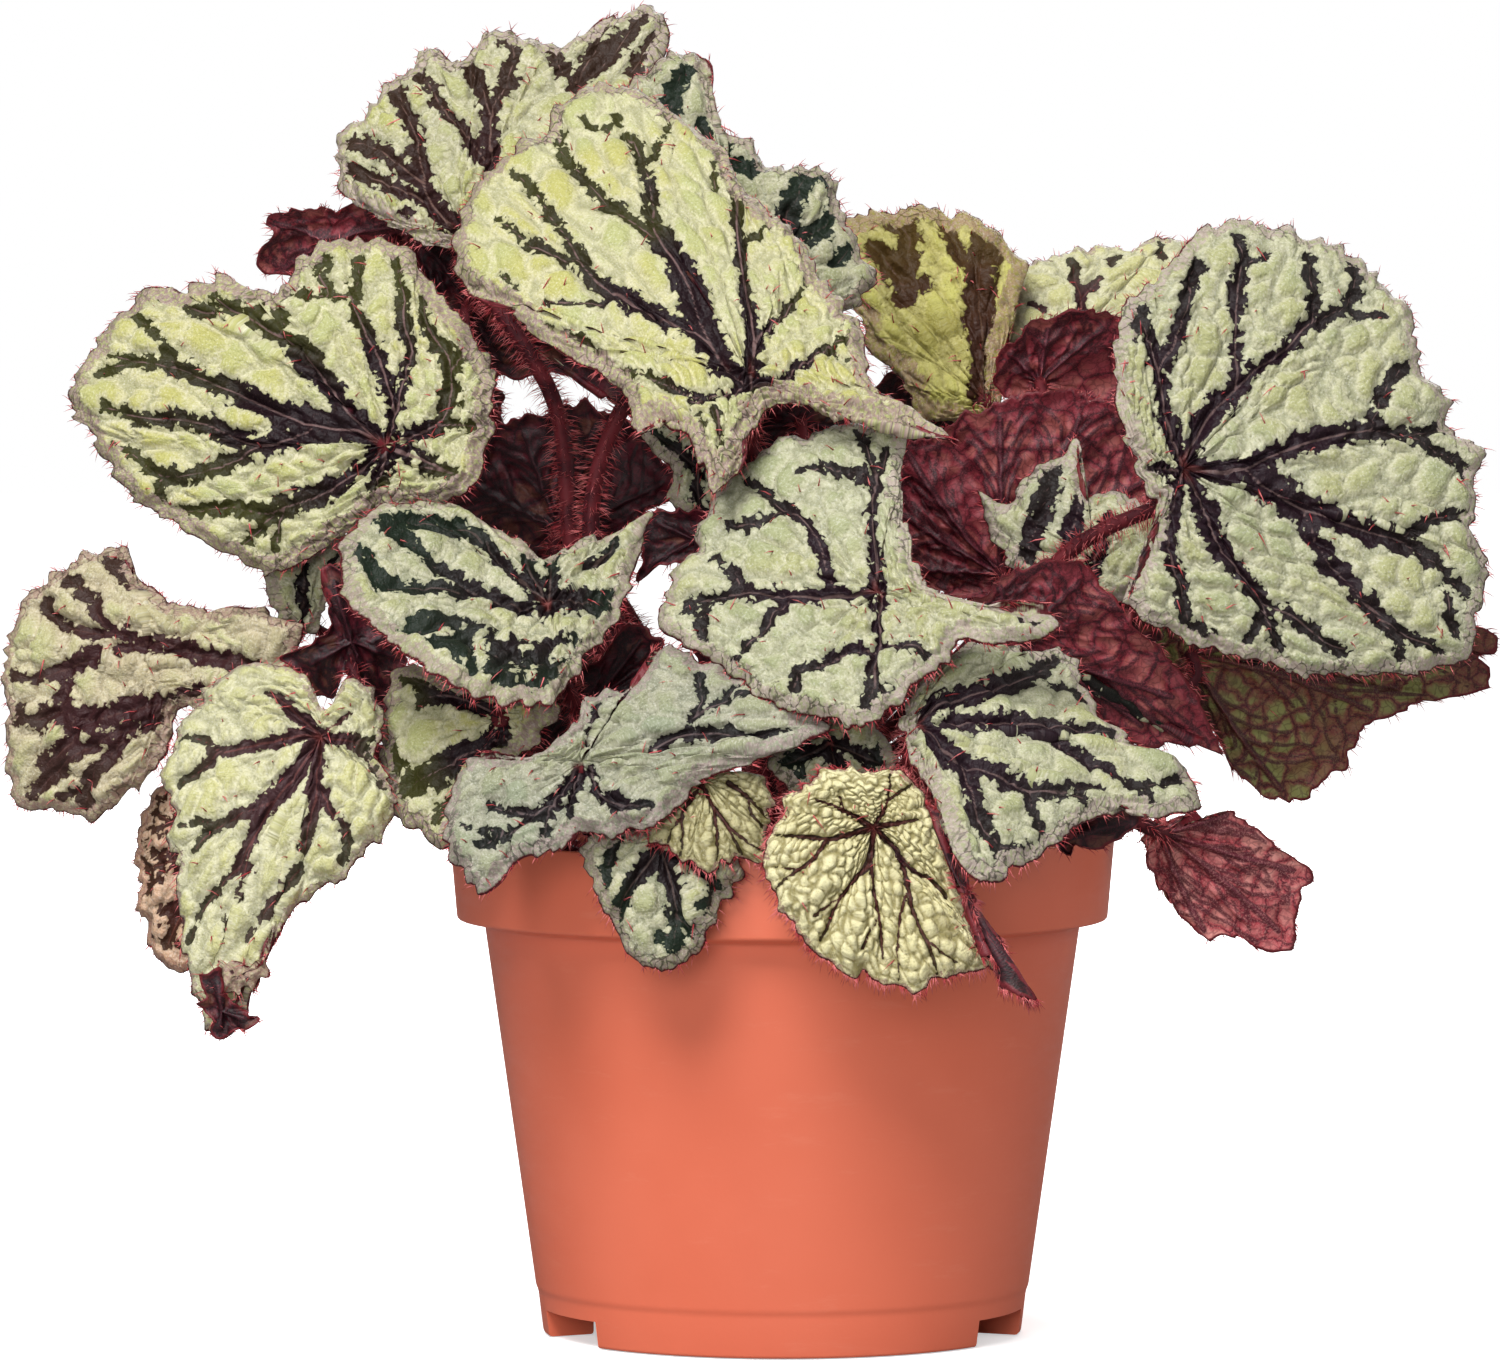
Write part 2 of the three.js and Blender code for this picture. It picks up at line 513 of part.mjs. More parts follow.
function potSolid() {
  const p = POT;
  const inner = (radius) => radius - p.wall;
  const profile = [
    [0, p.footHeight],
    [p.toeRadius - FOOT.wall, p.footHeight],
    [p.toeRadius - FOOT.wall, 0],
    [p.toeRadius - p.edgeRound, 0],
    [p.toeRadius, p.edgeRound],
    [p.footRadius, p.waist - p.wall],
    [p.waistRadius, p.waist],
    [p.shoulderRadius, p.bandFoot - p.wall],
    [p.bandFootRadius - p.edgeRound, p.bandFoot],
    [p.bandFootRadius, p.bandFoot + p.edgeRound],
    [p.rimRadius, p.height - p.edgeRound],
    [p.rimRadius - p.edgeRound / 2, p.height],
    [inner(p.rimRadius), p.height],
    [inner(p.bandFootRadius), p.bandFoot + p.wall],
    [inner(p.shoulderRadius), p.bandFoot - p.wall],
    [inner(p.waistRadius), p.waist + p.wall],
    [inner(p.waistRadius) - p.wall, p.footHeight + p.floor],
    [0, p.footHeight + p.floor],
  ].map(([r, z]) => new THREE.Vector2(r, z));
  const shell = new THREE.LatheGeometry(profile, p.sides).rotateX(Math.PI / 2);
  let pot = toSolid(shell);
  for (const degrees of FOOT.notchAngles) {
    const notch = new THREE.BoxGeometry(FOOT.notchWidth, 2 * FOOT.wall, 2 * FOOT.notchHeight)
      .translate(0, -p.toeRadius + FOOT.wall / 2, 0)
      .rotateZ(THREE.MathUtils.degToRad(degrees));
    pot = pot.subtract(toSolid(notch));
  }
  for (let i = 0; i < DRAIN.count; i += 1) {
    const angle = (2 * Math.PI * (i + 0.5)) / DRAIN.count;
    const hole = new THREE.CylinderGeometry(DRAIN.radius, DRAIN.radius, 6 * p.floor, 12)
      .rotateX(Math.PI / 2)
      .translate(DRAIN.ringRadius * Math.cos(angle), DRAIN.ringRadius * Math.sin(angle), p.footHeight + p.floor / 2);
    pot = pot.subtract(toSolid(hole));
  }
  const hub = new THREE.CylinderGeometry(FOOT.hubRadius, FOOT.hubRadius, p.footHeight + p.floor / 2, 16)
    .rotateX(Math.PI / 2)
    .translate(0, 0, (p.footHeight + p.floor / 2) / 2);
  return pot.add(toSolid(hub));
}

// ---------------------------------------------------------------- the soil and the rhizome

function lump(angle, share) {
  return SOIL.rough * share * (Math.sin(5 * angle + 9 * share) + 0.6 * Math.sin(11 * angle - 14 * share));
}

function soilSolid() {
  const floor = POT.footHeight + POT.floor + GAP;
  const inside = (z) => {
    const t = (z - POT.waist) / (POT.bandFoot - POT.waist);
    return THREE.MathUtils.lerp(POT.waistRadius, POT.shoulderRadius, Math.min(t, 1)) - POT.wall - GAP;
  };
  const topRadius = POT.bandFootRadius - POT.wall - GAP - 0.8;
  const profile = [
    [0, floor],
    [inside(POT.waist) - 2, floor],
    [inside(POT.waist) - 0.6, POT.waist + 2],
    [inside(POT.bandFoot) - GAP, POT.bandFoot - POT.wall + GAP],
    [topRadius, POT.bandFoot + POT.wall + GAP],
    [topRadius * 0.75, SOIL.top],
    [topRadius * 0.45, SOIL.top + SOIL.crown * 0.6],
    [topRadius * 0.2, SOIL.top + SOIL.crown],
    [0, SOIL.top + SOIL.crown],
  ].map(([r, z]) => new THREE.Vector2(r, z));
  const body = new THREE.LatheGeometry(profile, SOIL.sides).rotateX(Math.PI / 2);
  const position = body.attributes.position;
  for (let i = 0; i < position.count; i += 1) {
    const r = Math.hypot(position.getX(i), position.getY(i));
    if (position.getZ(i) > SOIL.top - 2 && r > 1) {
      const angle = Math.atan2(position.getY(i), position.getX(i));
      position.setZ(i, position.getZ(i) + lump(angle, 1 - r / (topRadius * 1.02)));
    }
  }
  return toSolid(body);
}

const rhizomeLine = new THREE.CatmullRomCurve3(RHIZOME.path.map((p) => new THREE.Vector3(...p)));

function rhizomeParts(grow) {
  const at = (t) => {
    const place = t * (RHIZOME.radii.length - 1);
    const i = Math.min(Math.floor(place), RHIZOME.radii.length - 2);
    const knob = 0.5 * Math.sin(9 * Math.PI * t);
    return THREE.MathUtils.lerp(RHIZOME.radii[i], RHIZOME.radii[i + 1], place - i) + knob + grow;
  };
  let solid = toSolid(tube(rhizomeLine, at, evenStops(RHIZOME.steps), RHIZOME.sides));
  for (const [x, y, toX, toY] of RHIZOME.roots) {
    const root = new THREE.CatmullRomCurve3([
      new THREE.Vector3(x, y, SOIL.top),
      new THREE.Vector3((2 * x + toX) / 3, (2 * y + toY) / 3, SOIL.top - RHIZOME.rootDepth * 0.45),
      new THREE.Vector3(toX, toY, SOIL.top - RHIZOME.rootDepth - grow),
    ]);
    solid = solid.add(toSolid(tube(root, (t) => THREE.MathUtils.lerp(...RHIZOME.rootRadii, t) + grow, evenStops(3), 5)));
  }
  return solid;
}

// ---------------------------------------------------------------- the blades

const FORWARD = VIEW.aim.clone().sub(VIEW.eye).normalize();
const ACROSS = new THREE.Vector3(1, 0, 0);
const UPWARD = ACROSS.clone().cross(FORWARD).normalize();

// The point at depth y on the line of sight through a picture point.
function seenAt(px, py, y) {
  const ray = FORWARD.clone()
    .addScaledVector(ACROSS, (px - VIEW.centre[0]) / VIEW.focal)
    .addScaledVector(UPWARD, (VIEW.centre[1] - py) / VIEW.focal);
  return VIEW.eye.clone().addScaledVector(ray, (y - VIEW.eye.y) / ray.y);
}

function pairs(flat) {
  const list = [];
  for (let i = 0; i < flat.length; i += 2) list.push(new THREE.Vector2(flat[i], flat[i + 1]));
  return list;
}

function distanceToLine(p, a, b) {
  const along = b.clone().sub(a);
  const t = THREE.MathUtils.clamp(p.clone().sub(a).dot(along) / along.lengthSq(), 0, 1);
  return p.distanceTo(a.clone().addScaledVector(along, t));
}

// The outline and the veins of a plain leaf, from its hub and its tip: two round lobes behind the
// hub, with a notch between them, and a point at the tip. skew makes one half the wider.
function heartShape({ hub, tip, skew }) {
  const middle = new THREE.Vector2(...hub);
  const axis = new THREE.Vector2(...tip).sub(middle);
  const side = new THREE.Vector2(-axis.y, axis.x);
  const reach = (angle) => {
    const point = HEART.point * Math.exp(-((Math.abs(angle) / HEART.pointAngle) ** 1.2));
    const notch = HEART.notch * Math.exp(-(((Math.PI - Math.abs(angle)) / HEART.notchAngle) ** 2));
    return (1 - HEART.point + point - notch) * (1 + skew * Math.sin(angle));
  };
  const at = (angle, share) => middle.clone()
    .addScaledVector(axis, share * reach(angle) * Math.cos(angle))
    .addScaledVector(side, share * reach(angle) * Math.sin(angle));
  const edge = [];
  for (let k = 0; k < HEART.corners; k += 1) {
    const angle = Math.PI * (-1 + (2 * k) / HEART.corners);
    edge.push(...at(angle, 1 + (k % 2 ? HEART.teeth : -HEART.teeth)).toArray());
  }
  return { edge, veins: HEART.veinAngles.flatMap((angle) => at(angle, HEART.veinShare).toArray()) };
}

for (const leaf of LEAVES) {
  if (!leaf.edge) Object.assign(leaf, heartShape(leaf), { rings: HEART.rings, under: true });
}

// How a blade lies: a function from a picture point, and its share of the way from the hub to the
// margin, to the depth of the blade there.
function bladeDepth(leaf) {
  const scale = VIEW.focal / (leaf.y - VIEW.eye.y);      // picture points to a millimetre
  const hub = new THREE.Vector2(...leaf.hub);
  const turn = Math.tan(THREE.MathUtils.degToRad(leaf.face[0]));
  const lift = Math.tan(THREE.MathUtils.degToRad(leaf.face[1])) / Math.cos(THREE.MathUtils.degToRad(leaf.face[0]));
  const axis = new THREE.Vector2(...leaf.tip).sub(hub);
  const length = axis.length() / scale;
  axis.normalize();
  const edge = pairs(leaf.edge);
  const width = Math.max(...edge.map((p) => Math.abs(p.clone().sub(hub).cross(axis)))) / scale;
  const veins = pairs(leaf.veins);
  const puff = (leaf.puff ?? BLADE.puff) * (leaf.under ? 1 : -1);
  return (px, py, share) => {
    const p = new THREE.Vector2(px, py);
    const offset = p.clone().sub(hub).divideScalar(scale);
    const along = Math.max(offset.dot(axis), 0) / length;
    const side = offset.cross(axis) / width;
    const veinGap = Math.min(...veins.map((v) => distanceToLine(p, hub, v))) / scale;
    const nearMargin = Math.min(1, 3 * (1.1 - share));
    const swell = puff * (1 - Math.exp(-((veinGap / BLADE.valley) ** 2))) * nearMargin;
    return leaf.y + turn * offset.x - lift * offset.y + leaf.sag * along ** 2 + leaf.cup * side ** 2 + swell;
  };
}

function ringShares(rings) {
  const shares = [];
  for (let i = 1; i <= rings; i += 1) shares.push(1 - ((rings - i) / rings) ** BLADE.ringPower);
  return shares;
}

function bladeGeometry(leaf) {
  const depth = bladeDepth(leaf);
  const core = new THREE.Vector2(...(leaf.core ?? leaf.hub));
  const edge = pairs(leaf.edge);
  const count = edge.length;
  const middle = [seenAt(core.x, core.y, depth(core.x, core.y, 0))];
  const shares = ringShares(leaf.rings);
  shares.forEach((share, ring) => {
    edge.forEach((corner, k) => {
      const p = core.clone().lerp(corner, share);
      const ripple = BLADE.wave * share ** 3 * ((k + ring) % 2 ? 1 : -1);
      middle.push(seenAt(p.x, p.y, depth(p.x, p.y, share) + ripple));
    });
  });
  const face = [];
  for (let k = 0; k < count; k += 1) {
    const next = (k + 1) % count;
    face.push([0, 1 + k, 1 + next]);
    for (let ring = 0; ring + 1 < shares.length; ring += 1) {
      const inner = 1 + ring * count;
      const outer = inner + count;
      face.push([inner + k, outer + k, outer + next], [inner + k, outer + next, inner + next]);
    }
  }
  const normals = middle.map(() => new THREE.Vector3());
  for (const [a, b, c] of face) {
    const normal = middle[b].clone().sub(middle[a]).cross(middle[c].clone().sub(middle[a]));
    for (const i of [a, b, c]) normals[i].add(normal);
  }
  const half = BLADE.thick / 2;
  const front = middle.map((p, i) => p.clone().addScaledVector(normals[i].normalize(), half));
  const back = middle.map((p, i) => p.clone().addScaledVector(normals[i], -half));
  const triangles = [];
  const offset = middle.length;
  for (const [a, b, c] of face) {
    triangles.push(a, b, c, offset + a, offset + c, offset + b);
  }
  const rim = 1 + (shares.length - 1) * count;
  for (let k = 0; k < count; k += 1) {
    const a = rim + k;
    const b = rim + ((k + 1) % count);
    triangles.push(a, offset + a, offset + b, a, offset + b, b);
  }
  return indexed([...front, ...back], triangles);
}

// Where a stalk meets its blade, and the way out of the blade on its hidden side.
function bladeSeat(leaf) {
  const depth = bladeDepth(leaf);
  const [px, py] = leaf.hub;
  const point = seenAt(px, py, depth(px, py, 0));
  const right = seenAt(px + 10, py, depth(px + 10, py, 0)).sub(point);
  const above = seenAt(px, py - 10, depth(px, py - 10, 0)).sub(point);
  const away = above.cross(right).normalize();
  if (leaf.under) away.negate();
  return { point, away };
}

const leafNamed = Object.fromEntries(LEAVES.map((leaf) => [leaf.name, leaf]));

// The line of a stalk from its first points, at the ground, to just short of its blade.
function stalkCurve(leaf, start, via, lead, tipRadius) {
  const { point, away } = bladeSeat(leaf);
  const end = point.clone().addScaledVector(away, BLADE.thick / 2 + GAP + tipRadius * 0.6);
  const near = lead ? new THREE.Vector3(...lead) : away.clone().multiplyScalar(5).add(new THREE.Vector3(0, 0, -4));
  const points = [...start];
  for (const p of via) points.push(new THREE.Vector3(...p));
  points.push(near.add(end), end);
  return new THREE.CatmullRomCurve3(points, false, 'centripetal');
}

function looseStalk({ leaf, foot, via = [], lead }) {
  const [x, y] = foot;
  const heights = [SOIL.top - STALK.depth, SOIL.top, SOIL.top + STALK.rise];
  const start = heights.map((z) => new THREE.Vector3(x, y, z));
  const curve = stalkCurve(leafNamed[leaf], start, via, lead, STALK.tipRadius);
  const radius = (t) => THREE.MathUtils.lerp(STALK.baseRadius, STALK.tipRadius, t);
  const straight = (STALK.depth + STALK.rise) / curve.getLength();
  return tube(curve, radius, evenStops(STALK.steps - 1, straight), STALK.sides);
}

function rhizomeStalk({ leaf, root, via = [], lead }) {
  const bud = rhizomeLine.getPointAt(root);
  const start = [bud, bud.clone().setZ(bud.z + RUNNER.rise)];
  const curve = stalkCurve(leafNamed[leaf], start, via, lead, RUNNER.tipRadius);
  const radius = (t) => THREE.MathUtils.lerp(RUNNER.baseRadius, RUNNER.tipRadius, t);
  return tube(curve, radius, evenStops(RUNNER.steps - 1, RUNNER.rise / curve.getLength()), RUNNER.sides);
}

// ---------------------------------------------------------------- assembly

const plant = new THREE.Group();
plant.name = 'potted_rex_begonia';

function addMesh(name, geometry, color, roughness) {
  const mesh = new THREE.Mesh(geometry, new THREE.MeshStandardMaterial({ color, roughness, metalness: 0 }));
  mesh.name = name;
  plant.add(mesh);
  return mesh;
}

addMesh('pot', toGeometry(potSolid()), COLOURS.pot, 0.5);

for (const leaf of LEAVES) {
  const color = leaf.under ? COLOURS.red : COLOURS.silver;
  addMesh(`leaf_${leaf.name}`, bladeGeometry(leaf), color, 0.6);
}

let soil = soilSolid().subtract(rhizomeParts(GAP));
for (const stalk of STALKS) {
  addMesh(`stalk_${stalk.leaf}`, looseStalk(stalk), COLOURS.stalk, 0.7);
  const radius = STALK.baseRadius + STALK.hole;
  const hole = new THREE.CylinderGeometry(radius, radius, 2 * (STALK.depth + GAP), STALK.sides + 2)
    .rotateX(Math.PI / 2)
    .translate(stalk.foot[0], stalk.foot[1], SOIL.top);
  soil = soil.subtract(toSolid(hole));
}
addMesh('soil', toGeometry(soil), COLOURS.soil, 0.95);

let rhizome = rhizomeParts(0);
for (const stalk of RHIZOME_STALKS) rhizome = rhizome.add(toSolid(rhizomeStalk(stalk)));
addMesh('rhizome', toGeometry(rhizome), COLOURS.rhizome, 0.8);

export default plant;
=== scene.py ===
# %% [markdown]
# # A potted rex begonia
# The plant stands in a moulded plastic pot. Its crown is some forty leaves on hairy stalks, which all
# come out of one creeping rhizome. The solids of the part are loaded first as a fixed frame, and every
# piece made here lies on the solid that it stands for. Lengths are worked out in millimetres and
# written to the meshes in metres.

# %% The frame
import math

import bmesh
import bpy
import mathutils
import numpy as np
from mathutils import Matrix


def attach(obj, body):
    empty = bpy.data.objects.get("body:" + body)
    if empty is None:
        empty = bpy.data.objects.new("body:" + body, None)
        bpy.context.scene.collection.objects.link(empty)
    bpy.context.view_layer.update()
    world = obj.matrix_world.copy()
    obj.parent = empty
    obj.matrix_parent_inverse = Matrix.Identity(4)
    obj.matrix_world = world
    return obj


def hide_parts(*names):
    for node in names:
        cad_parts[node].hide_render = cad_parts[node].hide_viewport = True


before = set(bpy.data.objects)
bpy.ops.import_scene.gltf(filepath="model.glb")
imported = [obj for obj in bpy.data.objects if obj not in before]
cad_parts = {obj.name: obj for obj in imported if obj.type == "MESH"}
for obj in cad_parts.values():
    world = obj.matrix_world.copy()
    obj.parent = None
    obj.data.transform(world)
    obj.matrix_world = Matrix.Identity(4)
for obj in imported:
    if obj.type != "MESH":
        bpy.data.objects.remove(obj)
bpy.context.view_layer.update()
MM = 0.001
print("solids in the frame:", len(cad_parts))

# %% [markdown]
# ## Where the eye is
# A leaf is a waved skin with an outline that no formula gives. It could be sculpted, or cut out as a
# flat card and bent. Here each outline is drawn as it is seen from the front, in a picture 1500 wide
# and 1367 high, and every point of the skin is carried along its own line of sight to the depth that
# the leaf has there. The outline then stays right from the front, however much the skin curls.

# %% Lines of sight
EYE = np.array([-6.8, -1700.0, 206.6])
AIM = np.array([-6.8, 0.0, 136.6])
PICTURE = (1500, 1367)
FOCAL = 8080.0                                   # picture points from the eye to the picture
FORWARD = (AIM - EYE) / np.linalg.norm(AIM - EYE)
ACROSS = np.array([1.0, 0.0, 0.0])
UPWARD = np.cross(ACROSS, FORWARD)


def seen_at(picture, depth):
    """The points on the lines of sight through some picture points, at some depths y."""
    x = (picture[..., 0] - PICTURE[0] / 2) / FOCAL
    z = (PICTURE[1] / 2 - picture[..., 1]) / FOCAL
    ray = FORWARD + x[..., None] * ACROSS + z[..., None] * UPWARD
    return EYE + ray * ((depth - EYE[1]) / ray[..., 1])[..., None]


print("the eye is", round(float(np.linalg.norm(AIM - EYE))), "mm away")

# %% [markdown]
# ## The leaves, one by one
# Every leaf of this plant is different, so each has its own outline, read clockwise in the picture.
# hub is where its veins meet and its stalk is fixed, y is the depth of the hub, and face says how far
# the side that shows is turned to the right and lifted, in degrees. sag and cup bend the tip and the
# two sides back, and puff lifts it between its veins. under marks a leaf that shows its red underside.
# coat names its colours, dark says how wide its dark bands are, bumps how big its puckers are and
# height how high, and fringe how dense the hairs of its margin are. core is the middle of the rings of
# points that a blade is made of, where that isn't the hub, and rings says which way the margin's waves
# go. extra marks a piece too small to have a solid, and skew leans a plain leaf at the back to a side.

# %% The leaf table
LEAVES = {}


def pairs(text):
    """Picture points from a text of their coordinates."""
    return np.array(text.split(), float).reshape(-1, 2)


def leaf(name, coat, hub, tip, y, face, sag, cup, edge=None, veins=None, core=None, puff=0.8, rings=3,
         skew=0.0, under=False, dark=1.0, bumps=5.0, height=1.9, fringe=0.5, extra=False):
    LEAVES[name] = dict(
        name=name, coat=coat, hub=np.array(hub, float), tip=np.array(tip, float), y=y, face=face, sag=sag,
        cup=cup, edge=edge, veins=veins, core=np.array(core or hub, float), puff=puff, rings=rings,
        skew=skew, under=under, dark=dark, bumps=bumps, height=height, fringe=fringe, extra=extra)


leaf("top_front", "lime", hub=(748, 378), tip=(600, 110), y=-48, face=(-5, 35), sag=3, cup=4, rings=4,
     dark=0.82,
     edge="600 82 650 92 690 125 725 150 745 185 772 212 800 240 835 290 862 335 872 385 910 405 955 440 "
          "900 425 840 415 780 404 745 440 735 470 712 490 700 465 688 436 664 422 638 434 626 402 600 370 "
          "545 342 505 305 462 285 456 250 462 210 490 165 540 130 565 98",
     veins="555 145 650 120 520 190 545 335 735 190 815 270 860 345 720 470")
leaf("centre", "sage", hub=(880, 596), tip=(740, 470), y=-70, face=(-12, 30), sag=3, cup=3, rings=4,
     dark=0.92,
     edge="658 622 668 580 690 545 715 490 745 460 780 440 815 430 845 420 870 418 905 430 902 500 915 555 "
          "930 582 1000 606 1060 615 1055 630 1005 642 962 640 945 660 920 680 885 715 870 727 830 718 "
          "770 700 725 670 692 650",
     veins="740 470 865 435 690 600 870 712 800 685 1040 622")
leaf("low_right", "sage", hub=(916, 726), tip=(1190, 780), y=-78, face=(15, 35), sag=2, cup=2, dark=0.9,
     rings=4,
     edge="903 712 925 672 962 645 1000 642 1045 650 1062 648 1085 685 1125 735 1165 755 1190 775 1202 803 "
          "1155 818 1128 812 1095 815 1050 845 1015 870 995 882 960 865 935 805 908 750",
     veins="1065 672 1120 730 1180 782 985 850 1045 838")
leaf("young_right", "young", hub=(873, 828), tip=(900, 990), y=-84, face=(5, 8), sag=-1, cup=2, bumps=2.7,
     height=1.25, fringe=5.0, dark=0.5, puff=1.6, rings=4,
     edge="778 812 800 785 850 768 905 775 935 810 955 870 975 930 1028 1000 992 968 945 975 900 990 "
          "860 975 815 955 785 915 765 875 770 840",
     veins="775 833 825 940 880 965 1010 985 955 890 830 785 900 785")
# this leaf lies in shadow, and its grey coat is painted shade
leaf("low_front", "dusk", hub=(582, 765), tip=(470, 860), y=-70, face=(-12, 25), sag=2, cup=1, dark=0.9,
     puff=1.4, rings=4,
     edge="585 700 605 690 630 690 645 668 666 642 690 654 730 670 800 708 830 725 800 745 770 757 700 780 "
          "690 795 650 825 595 835 575 832 560 850 515 862 485 888 450 855 443 820 455 785 470 757 505 757 "
          "540 750 575 725",
     veins="600 698 690 660 820 725 690 785 620 830 560 845 470 795 455 840 490 880")
# this young leaf lies in shadow, and its coat is the young coat darkened as painted shade
leaf("young_left", "young_shade", hub=(705, 782), tip=(715, 865), y=-72, face=(0, 15), sag=0, cup=1,
     bumps=2.4, height=1.0, fringe=4.0, dark=0.5, puff=1.2, rings=2,
     edge="640 830 665 800 690 778 715 772 750 768 775 800 768 830 772 855 742 862 715 868 690 862 670 850",
     veins="660 820 690 855 735 862 765 850 772 810")
leaf("rim_front", "jade", hub=(662, 842), tip=(660, 968), y=-71, face=(-4, 5), sag=-1, cup=1.5, dark=1.05,
     rings=3,
     edge="610 830 650 826 700 832 735 855 742 875 728 905 707 930 700 955 660 970 620 945 600 900 590 870 "
          "583 840",
     veins="675 955 612 920 725 895 595 860")
leaf("bowl", "jade", hub=(548, 608), tip=(400, 560), y=-52, face=(2, 42), sag=-6, cup=-4, dark=1.0,
     rings=4,
     edge="342 560 350 530 380 507 440 500 480 515 525 540 548 556 575 540 615 530 655 512 642 540 635 580 "
          "610 632 585 655 560 690 520 703 475 695 430 670 395 640 365 610 348 600",
     veins="360 545 420 510 500 530 560 560 630 530 600 620 520 695 440 665 375 605")
leaf("left_low", "lime", hub=(505, 722), tip=(410, 800), y=-48, face=(-20, 20), sag=2, cup=1, dark=0.95,
     rings=3,
     edge="385 700 396 665 450 672 505 690 560 702 535 745 512 762 478 790 462 820 447 850 405 825 385 790 "
          "380 745",
     veins="410 690 395 740 410 800 450 780")
leaf("left_drooping", "pale", hub=(322, 738), tip=(213, 1020), y=-45, face=(-10, 15), sag=6, cup=4,
     dark=0.88, rings=4,
     edge="262 660 305 675 328 702 347 677 384 708 380 760 396 812 362 858 312 897 282 927 268 950 258 975 "
          "247 992 241 1012 232 1036 213 1039 198 1006 186 978 180 920 174 860 165 790 163 765 185 710 "
          "220 675",
     veins="270 690 180 790 190 865 208 925 305 855 370 765 230 985")
leaf("left_large", "lime", hub=(388, 447), tip=(80, 400), y=-16, face=(-15, 12), sag=4, cup=5, rings=4,
     dark=0.85,
     edge="350 240 405 242 425 275 470 330 492 365 496 410 490 440 470 487 432 507 385 505 365 525 320 550 "
          "262 573 214 547 163 516 123 491 95 442 70 400 72 372 98 335 115 312 160 285 180 292 222 272 "
          "248 290 283 285 300 257 320 243",
     veins="110 350 165 300 95 440 160 505 240 560 340 255 398 250 430 310 490 430 420 498")
leaf("far_left", "tan", hub=(262, 668), core=(150, 680), tip=(10, 700), y=-4, face=(-16, 8), sag=4, cup=3,
     dark=0.7, rings=4,
     edge="5 650 15 620 35 595 70 560 100 548 125 547 140 578 158 596 190 603 228 609 262 608 295 625 "
          "297 660 280 690 235 700 200 712 180 705 165 745 140 785 95 820 60 814 16 805 6 770 2 704",
     veins="115 565 30 620 10 690 45 790 150 750")
leaf("left_behind", "russet", hub=(215, 850), tip=(140, 900), y=8, face=(-12, 5), sag=2, cup=2, rings=2,
     edge="225 785 262 820 260 880 225 940 183 975 158 959 144 933 133 903 133 860 138 830 150 805 168 778",
     veins="150 810 140 870 165 950 240 900")
leaf("left_folded", "jade", hub=(308, 600), tip=(280, 655), y=0, face=(20, -5), sag=1, cup=2, rings=2,
     edge="270 566 285 556 303 545 348 534 346 572 328 590 326 610 318 630 300 642 277 660 286 636 284 622 "
          "272 606",
     veins="303 556 290 650")
leaf("left_inner_under", "maroon", hub=(350, 666), core=(350, 640), tip=(300, 690), y=-16, face=(10, -20),
     sag=2, cup=2, rings=2, under=True,
     edge="325 565 348 575 385 622 405 658 400 682 388 712 364 692 345 672 333 700 300 672 285 655 322 628 "
          "330 600",
     veins="335 580 375 650 370 690 305 665")
leaf("fold_under", "maroon", hub=(592, 700), tip=(540, 745), y=-26, face=(-10, -15), sag=0, cup=2,
     rings=2, under=True,
     edge="535 748 542 702 565 678 600 655 620 632 645 625 662 640 655 672 640 692 600 705 570 735",
     veins="545 740 640 640 640 685")
leaf("left_top", "moss", hub=(462, 232), tip=(540, 30), y=24, face=(-10, 20), sag=4, cup=4, dark=0.95,
     rings=4,
     edge="332 155 340 132 368 105 400 75 432 48 455 58 490 33 515 30 555 42 590 25 625 12 642 2 660 20 "
          "668 45 645 100 600 160 540 215 500 262 458 250 425 243 385 225 345 195 333 175",
     veins="345 140 400 85 470 60 510 38 560 50 600 35 645 20")
leaf("behind_top", "jade", hub=(735, 300), tip=(690, 60), y=4, face=(4, 15), sag=3, cup=3, dark=1.0,
     rings=3,
     edge="620 105 640 72 665 57 697 50 712 85 724 130 750 140 768 160 812 162 842 200 850 225 868 265 "
          "875 278 850 310 790 340 720 345 660 300 625 220 612 150",
     veins="690 60 745 150 830 200 865 272 640 130")
leaf("edge_top_left", "rose", hub=(394, 240), core=(330, 238), tip=(265, 225), y=54, face=(-10, -30),
     sag=0, cup=1, rings=2, under=True,
     edge="262 222 305 205 335 210 362 200 400 215 425 245 415 275 360 262 318 256 286 276 260 254 275 234",
     veins="275 222 290 265 400 225")
leaf("centre_under", "maroon", hub=(560, 526), tip=(460, 480), y=34, face=(-8, -15), sag=2, cup=3,
     rings=3, under=True,
     edge="440 520 458 485 474 448 492 428 535 410 570 404 612 410 645 432 668 462 672 498 640 520 605 545 "
          "570 578 520 588 468 565",
     veins="470 480 520 420 600 415 660 480")
leaf("upper_under", "maroon", hub=(470, 300), tip=(600, 385), y=40, face=(-8, -12), sag=2, cup=1, rings=2,
     under=True,
     edge="408 232 440 225 500 250 560 310 620 352 650 395 640 420 612 402 580 382 545 374 500 375 478 348 "
          "448 315 425 280",
     veins="420 240 560 340 500 360")
leaf("strip_under", "maroon", hub=(800, 425), tip=(860, 420), y=-24, face=(4, 10), sag=0, cup=0, rings=2,
     under=True,
     edge="728 410 770 395 820 402 866 410 880 432 840 450 790 462 745 455 724 430",
     veins="740 430 865 425")
leaf("inner_dark", "jade", hub=(700, 470), tip=(650, 420), y=-16, face=(-10, 10), sag=1, cup=1, rings=2,
     edge="638 425 660 412 700 415 750 430 760 470 735 510 705 545 685 520 668 500 672 470 648 450",
     veins="650 430 745 440 700 535")
